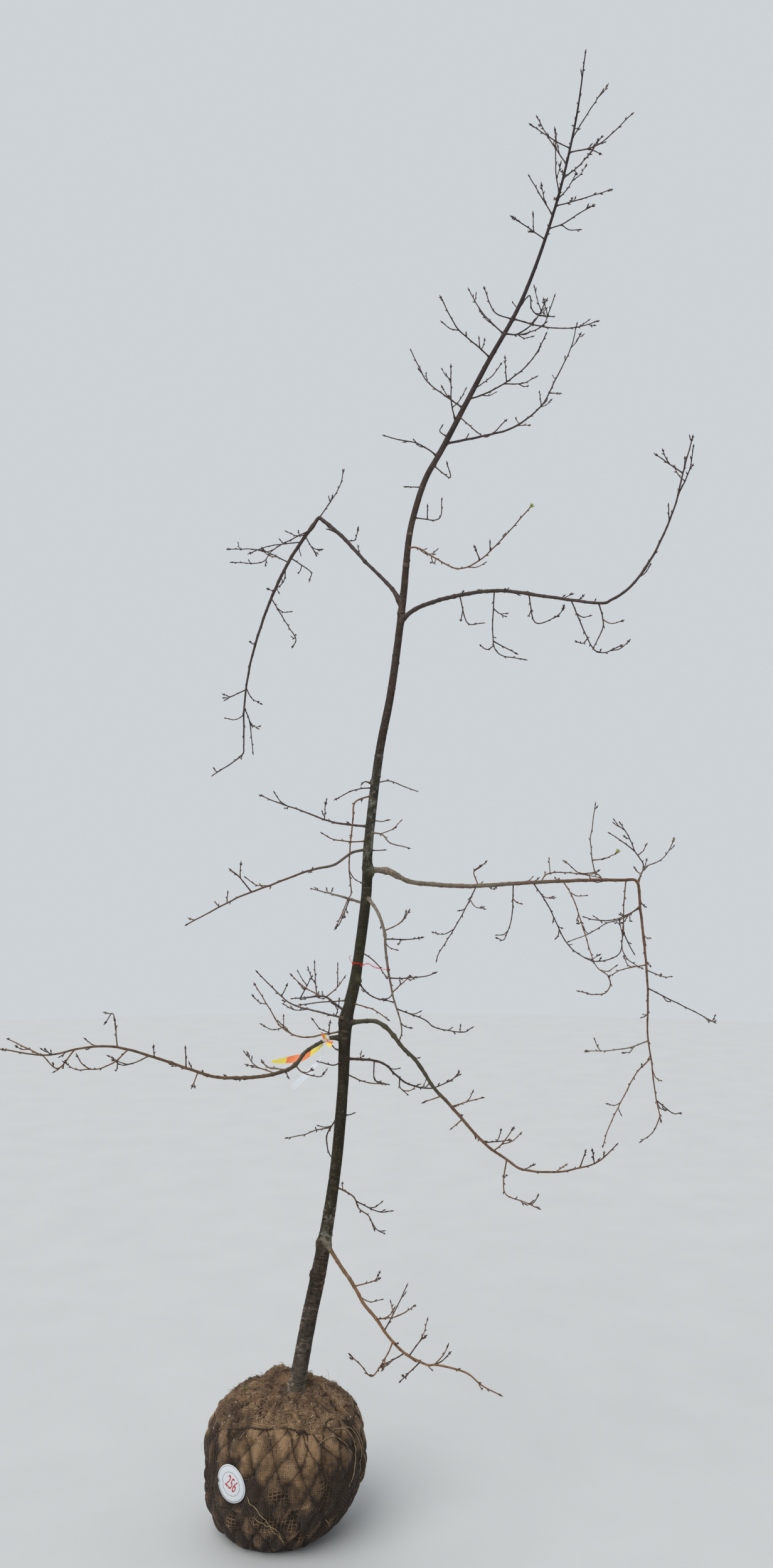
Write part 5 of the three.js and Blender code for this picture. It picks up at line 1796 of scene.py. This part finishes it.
def make_label(finishes):
    """A round paper label without words: two thin rings and a plain number."""
    shape = Shape()
    shape.add(*closed_tube(np.array([label_ring(*ring) for ring in LABEL_RINGS])), finish=PAPER)
    for share in (0.93, 0.62):
        add_loop(shape, label_ring(share, 0.75), 0.5, 4, INK)
    curve = bpy.data.curves.new("number", "FONT")
    curve.body, curve.extrude, curve.resolution_u = LABEL_NUMBER, 0.5, 4
    curve.align_x = curve.align_y = "CENTER"
    written = show(curve, "number")
    mesh = bpy.data.meshes.new_from_object(written.evaluated_get(bpy.context.evaluated_depsgraph_get()))
    bpy.data.objects.remove(written)
    mesh.calc_loop_triangles()
    right, high, thick = (np.array([v.co for v in mesh.vertices]) * NUMBER_SIZE).T
    across = right * math.cos(NUMBER_SLANT) - high * math.sin(NUMBER_SLANT)
    up = right * math.sin(NUMBER_SLANT) + high * math.cos(NUMBER_SLANT)
    triangles = [triangle.vertices for triangle in mesh.loop_triangles]
    shape.add(on_label(across + 2, up, 0.85 + thick), triangles=triangles, finish=NUMBER)
    shape.piece("label", finishes, "root_ball", "root_ball")


# Things tied on the tree. Half widths are shares of a ribbon's length and the sizes there
WHITE, ORANGE, YELLOW, STRIP, RED = range(5)
# Turns of tape round the long left bough: distance, width, how far out, and colour
TAPE_TURNS = [(70, 9, 1.0, WHITE), (82, 9, 1.2, WHITE), (76, 4, 0.6, ORANGE), (89, 3, 0.4, WHITE)]
# The tape's long tail, orange in its middle
TAIL = [
    (144, 10, 1524), (131, 14, 1512), (120, 18, 1504), (97, 27, 1489), (78, 34, 1478), (55, 38, 1473),
    (32, 38, 1469), (9, 36, 1466), (-14, 34, 1464), (-28, 33, 1465),
]
TAIL_WIDTHS = [0, 0.1, 0.22, 0.42, 0.55, 0.72, 0.88, 1], [4, 7.5, 10, 12.5, 12.5, 11, 7.5, 3.5]
ORANGE_PART = (0.27, 0.74)
# The tape's short ends: places, colour and half width at the end
TAPE_ENDS = [
    [[(147, 2, 1540), (145, -2, 1551), (141, -4, 1560)], ORANGE, 5.5],
    [[(152, 2, 1541), (152, -2, 1550), (150, -4, 1557)], YELLOW, 5],
    [[(157, 8, 1532), (167, 2, 1531), (177, 0, 1532)], ORANGE, 4.5],
    [[(153, 8, 1528), (163, 2, 1523), (172, 0, 1521)], YELLOW, 8],
]
# The blank strip, the string it hangs on, and how far it turns
STRING = [(149, 2, 1528), (144, -4, 1509), (141, -5, 1488)]
HUNG_STRIP = [
    (140, -4, 1492), (136, -4, 1480), (123, -3, 1461), (106, -2, 1441), (87, -2, 1423), (67, -2, 1404),
    (44, -2, 1383),
]
STRIP_WIDTHS = [0, 0.15, 0.35, 0.7, 1], [2.0, 5.5, 9.5, 10.5, 10]
STRIP_TURNS = [0, 0.4, 1], [1.2, 0.5, 0.25]
TAPE_THICKNESS = 0.6
# Red twine wound round the trunk at a height, and its loose ends
TWINE_HEIGHT = 1776
TWINE_RADIUS = 18.6
TWINE_ENDS = [
    [
        (264, 52, 1776), (274, 40, 1779), (290, 30, 1785), (308, 18, 1779),
        (324, 5, 1774), (340, -20, 1772), (356, -56, 1774),
    ],
    [(262, 50, 1775), (278, 42, 1783), (292, 32, 1787), (312, 22, 1774), (330, 12, 1771)],
    [(244, 50, 1776), (236, 44, 1790), (228, 42, 1806), (236, 38, 1812)],
]
# Where the same twine is wound round the drooping bough
DROOPING_TWINE = 304


def ribbon_line(joints, step):
    """The places of a ribbon, and the share of its length at each."""
    line = smooth_line(joints, step)
    return line, np.linspace(0, 1, len(line))


def add_ribbon(shape, line, share, widths, way, finishes, changes=()):
    """A thin strip along a line, with the way across it, and finishes that change at shares of it."""
    wides = np.interp(share, *widths)[:, None] * way
    normals = unit(np.cross(np.gradient(line, axis=0), wides)) * TAPE_THICKNESS / 2
    near, far = line - wides, line + wides
    rings = np.stack([near - normals, far - normals, far + normals, near + normals], 1)
    points, quads, fans = closed_tube(rings)
    finish = np.array(finishes)[np.searchsorted(changes, (share[1:] + share[:-1]) / 2)]
    shape.add(points, quads[:, ::-1], fans[:, ::-1], finish=np.repeat(finish, 4), end_finish=finish[0])


def band(shape, path, distance, radius, wide, thick, finish):
    """A strip wound once round a stem."""
    place, heading, across, above = path.frames(distance)
    turns = circle(36)
    out = spokes(across, above, turns)
    wave = heading * (0.6 * np.sin(2 * turns))[:, None]
    middles = place + out * (radius + 0.25 * np.sin(5 * turns))[:, None] + wave
    low, high = middles - heading * wide / 2, middles + heading * wide / 2
    points = np.stack([low, low + out * thick, high + out * thick, high], 1).reshape(-1, 3)
    shape.add(points, (ring_faces(len(turns) + 1, 4) % len(points))[:, ::-1], finish=finish)


def add_tape(shape):
    """The tape on the long left bough: its turns, its long tail and short ends, and the blank strip."""
    long_left = boughs["long_left"]
    girth = flared(long_left, "long_left")(80)
    for distance, wide, out, colour in TAPE_TURNS:
        band(shape, long_left["stem"], distance, girth + out, wide, 0.8, colour)
    tail, share = ribbon_line(TAIL, 6)
    lean = np.radians(82 + 9 * np.sin(share * 9))
    way = np.stack([0.25 * np.ones_like(lean), np.cos(lean), np.sin(lean)], -1)
    add_ribbon(shape, tail, share, TAIL_WIDTHS, way, [YELLOW, ORANGE, YELLOW], ORANGE_PART)
    for joints, colour, widest in TAPE_ENDS:
        line, share = ribbon_line(joints, 4)
        way = unit(np.cross(unit(line[-1] - line[0]), (0.15, 1.0, 0.1)) + np.array([0, 0.35, 0]))
        add_ribbon(shape, line, share, ([0, 1], [2.5, widest]), way, [colour])
    add_strands(shape, smooth_line(STRING, 4), 0.9, 5, WHITE)
    strip, share = ribbon_line(HUNG_STRIP, 7)
    lean = np.interp(share, *STRIP_TURNS)[:, None]
    way = np.cos(lean) * unit(np.array([-0.7, 0.0, 0.72])) + np.sin(lean) * np.array([0, 1.0, 0])
    add_ribbon(shape, strip, share, STRIP_WIDTHS, way, [STRIP])


def add_twine(shape):
    """The red twine round the trunk, its loose ends, and two turns of it on the drooping bough."""
    run = trunk_line.run[np.argmax(trunk_line.points[:, 2] > TWINE_HEIGHT)]
    place, heading, across, above = trunk_line.frames(run)
    turns = np.linspace(0, 4.6 * math.pi, 90)
    along = heading * (1.6 * np.sin(turns / 2.3) - 1)[:, None]
    wound = place + spokes(across, above, turns) * (TWINE_RADIUS + 0.3 * np.sin(turns * 3))[:, None] + along
    add_strands(shape, wound, 1.15, 5, RED, twist=0.6, flat=0.7)
    for joints in TWINE_ENDS:
        add_strands(shape, smooth_line(joints, 4), 0.95, 5, RED, twist=0.6, flat=0.7)
    drooping = boughs["drooping"]
    girth = drooping["radius"](DROOPING_TWINE) + 0.4
    for distance in (DROOPING_TWINE, DROOPING_TWINE + 3):
        band(shape, drooping["stem"], distance, girth, 1.8, 1.4, RED)


def make_ties(finishes):
    """Bright tape and a blank strip tied to the long left bough, and red twine."""
    shape = Shape(smooth=False)
    add_tape(shape)
    add_twine(shape)
    shape.piece("ties", finishes, "twigs", "long_left_bough")


# Where the rail bough has cracked, from and to which distance
CRACK = (944, 972)
SPLINTER_COUNT = 16


def make_splinters(finish):
    """Torn pale wood where the rail bough has cracked at its bend."""
    shape = Shape()
    stem, radius = boughs["rail"]["stem"], boughs["rail"]["radius"]
    lots = np.random.default_rng(12)
    for _ in range(SPLINTER_COUNT):
        distance = lots.uniform(*CRACK)
        place, heading = stem.places(distance)
        out = unit(np.cross(heading, lots.normal(size=3)) + np.array([0.5, -1.0, 0.6]))
        start = place + out * radius(distance) * 0.7
        share = np.linspace(0, 1, 4)[:, None]
        sliver = start + heading * lots.uniform(-9, 14) * share + out * lots.uniform(1, 4) * share
        add_strands(shape, sliver, 1.1 * np.array([0.7, 1, 0.7, 0.15]), 4, flat=0.6)
    shape.piece("splinters", [finish], "bough_bark", "rail_bough")


LOOSE_FINISHES = [
    ["straw", (0.34, 0.25, 0.13), 0.7, 0.3, 800, 0.3, 0.0003, 0.2],
    ["rope_strands", (0.24, 0.17, 0.105), 0.9, 0.2, 1200, 0.4, 0.0003, 0.25],
    ["dark_strands", (0.08, 0.056, 0.038), 0.9, 0.2, 1200, 0.4, 0.0003, 0.25],
    ["cream_chips", (0.5, 0.4, 0.26), 0.75, 0.3, *FINE],
    ["moss", (0.13, 0.2, 0.04), 0.8, 0.2, 900, 0.3, 0.0003, 0.25],
]
LABEL_FINISHES = [
    ["label_paper", (0.6, 0.62, 0.63), 0.45, 0.4, 160, 0.15, 0.0003, 0.04],
    ["label_ink", (0.05, 0.06, 0.09), 0.5, 0.4, 500, 0.1, 0.0002, 0.1],
    ["label_number", (0.42, 0.03, 0.035), 0.45, 0.4, 500, 0.1, 0.0002, 0.08],
]
TIE_FINISHES = [
    ["white_tape", (0.72, 0.66, 0.64), 0.4, 0.5, 300, 0.2, 0.0003, 0.06],
    ["orange_tape", (0.85, 0.22, 0.07), 0.38, 0.5, 300, 0.2, 0.0003, 0.06],
    ["yellow_tape", (0.85, 0.7, 0.1), 0.38, 0.5, 300, 0.2, 0.0003, 0.06],
    ["blank_strip", (0.72, 0.75, 0.78), 0.35, 0.5, 200, 0.15, 0.0003, 0.04],
    ["red_twine", (0.5, 0.03, 0.03), 0.7, 0.3, *FINE],
]
make_loose_ends([finish_of(*row) for row in LOOSE_FINISHES])
make_label([finish_of(*row) for row in LABEL_FINISHES])
make_ties([finish_of(*row) for row in TIE_FINISHES])
make_splinters(finish_of("torn_wood", (0.55, 0.4, 0.2), 0.7, 0.3, 900, 0.3, 0.0004, 0.2))


# Floor
FLOOR_RADIUS, FLOOR_HEIGHT = 14, -0.0005
floor_mesh = bpy.data.meshes.new("floor")
edge = [(FLOOR_RADIUS * math.cos(turn), FLOOR_RADIUS * math.sin(turn), FLOOR_HEIGHT) for turn in circle(96)]
floor_mesh.from_pydata(edge, [], [list(range(len(edge)))])
floor_mesh.materials.append(finish_of("floor", (0.5, 0.505, 0.5), 0.9, 0.1, 3, 0.05, 0.0005, 0.02))
show(floor_mesh, "floor")
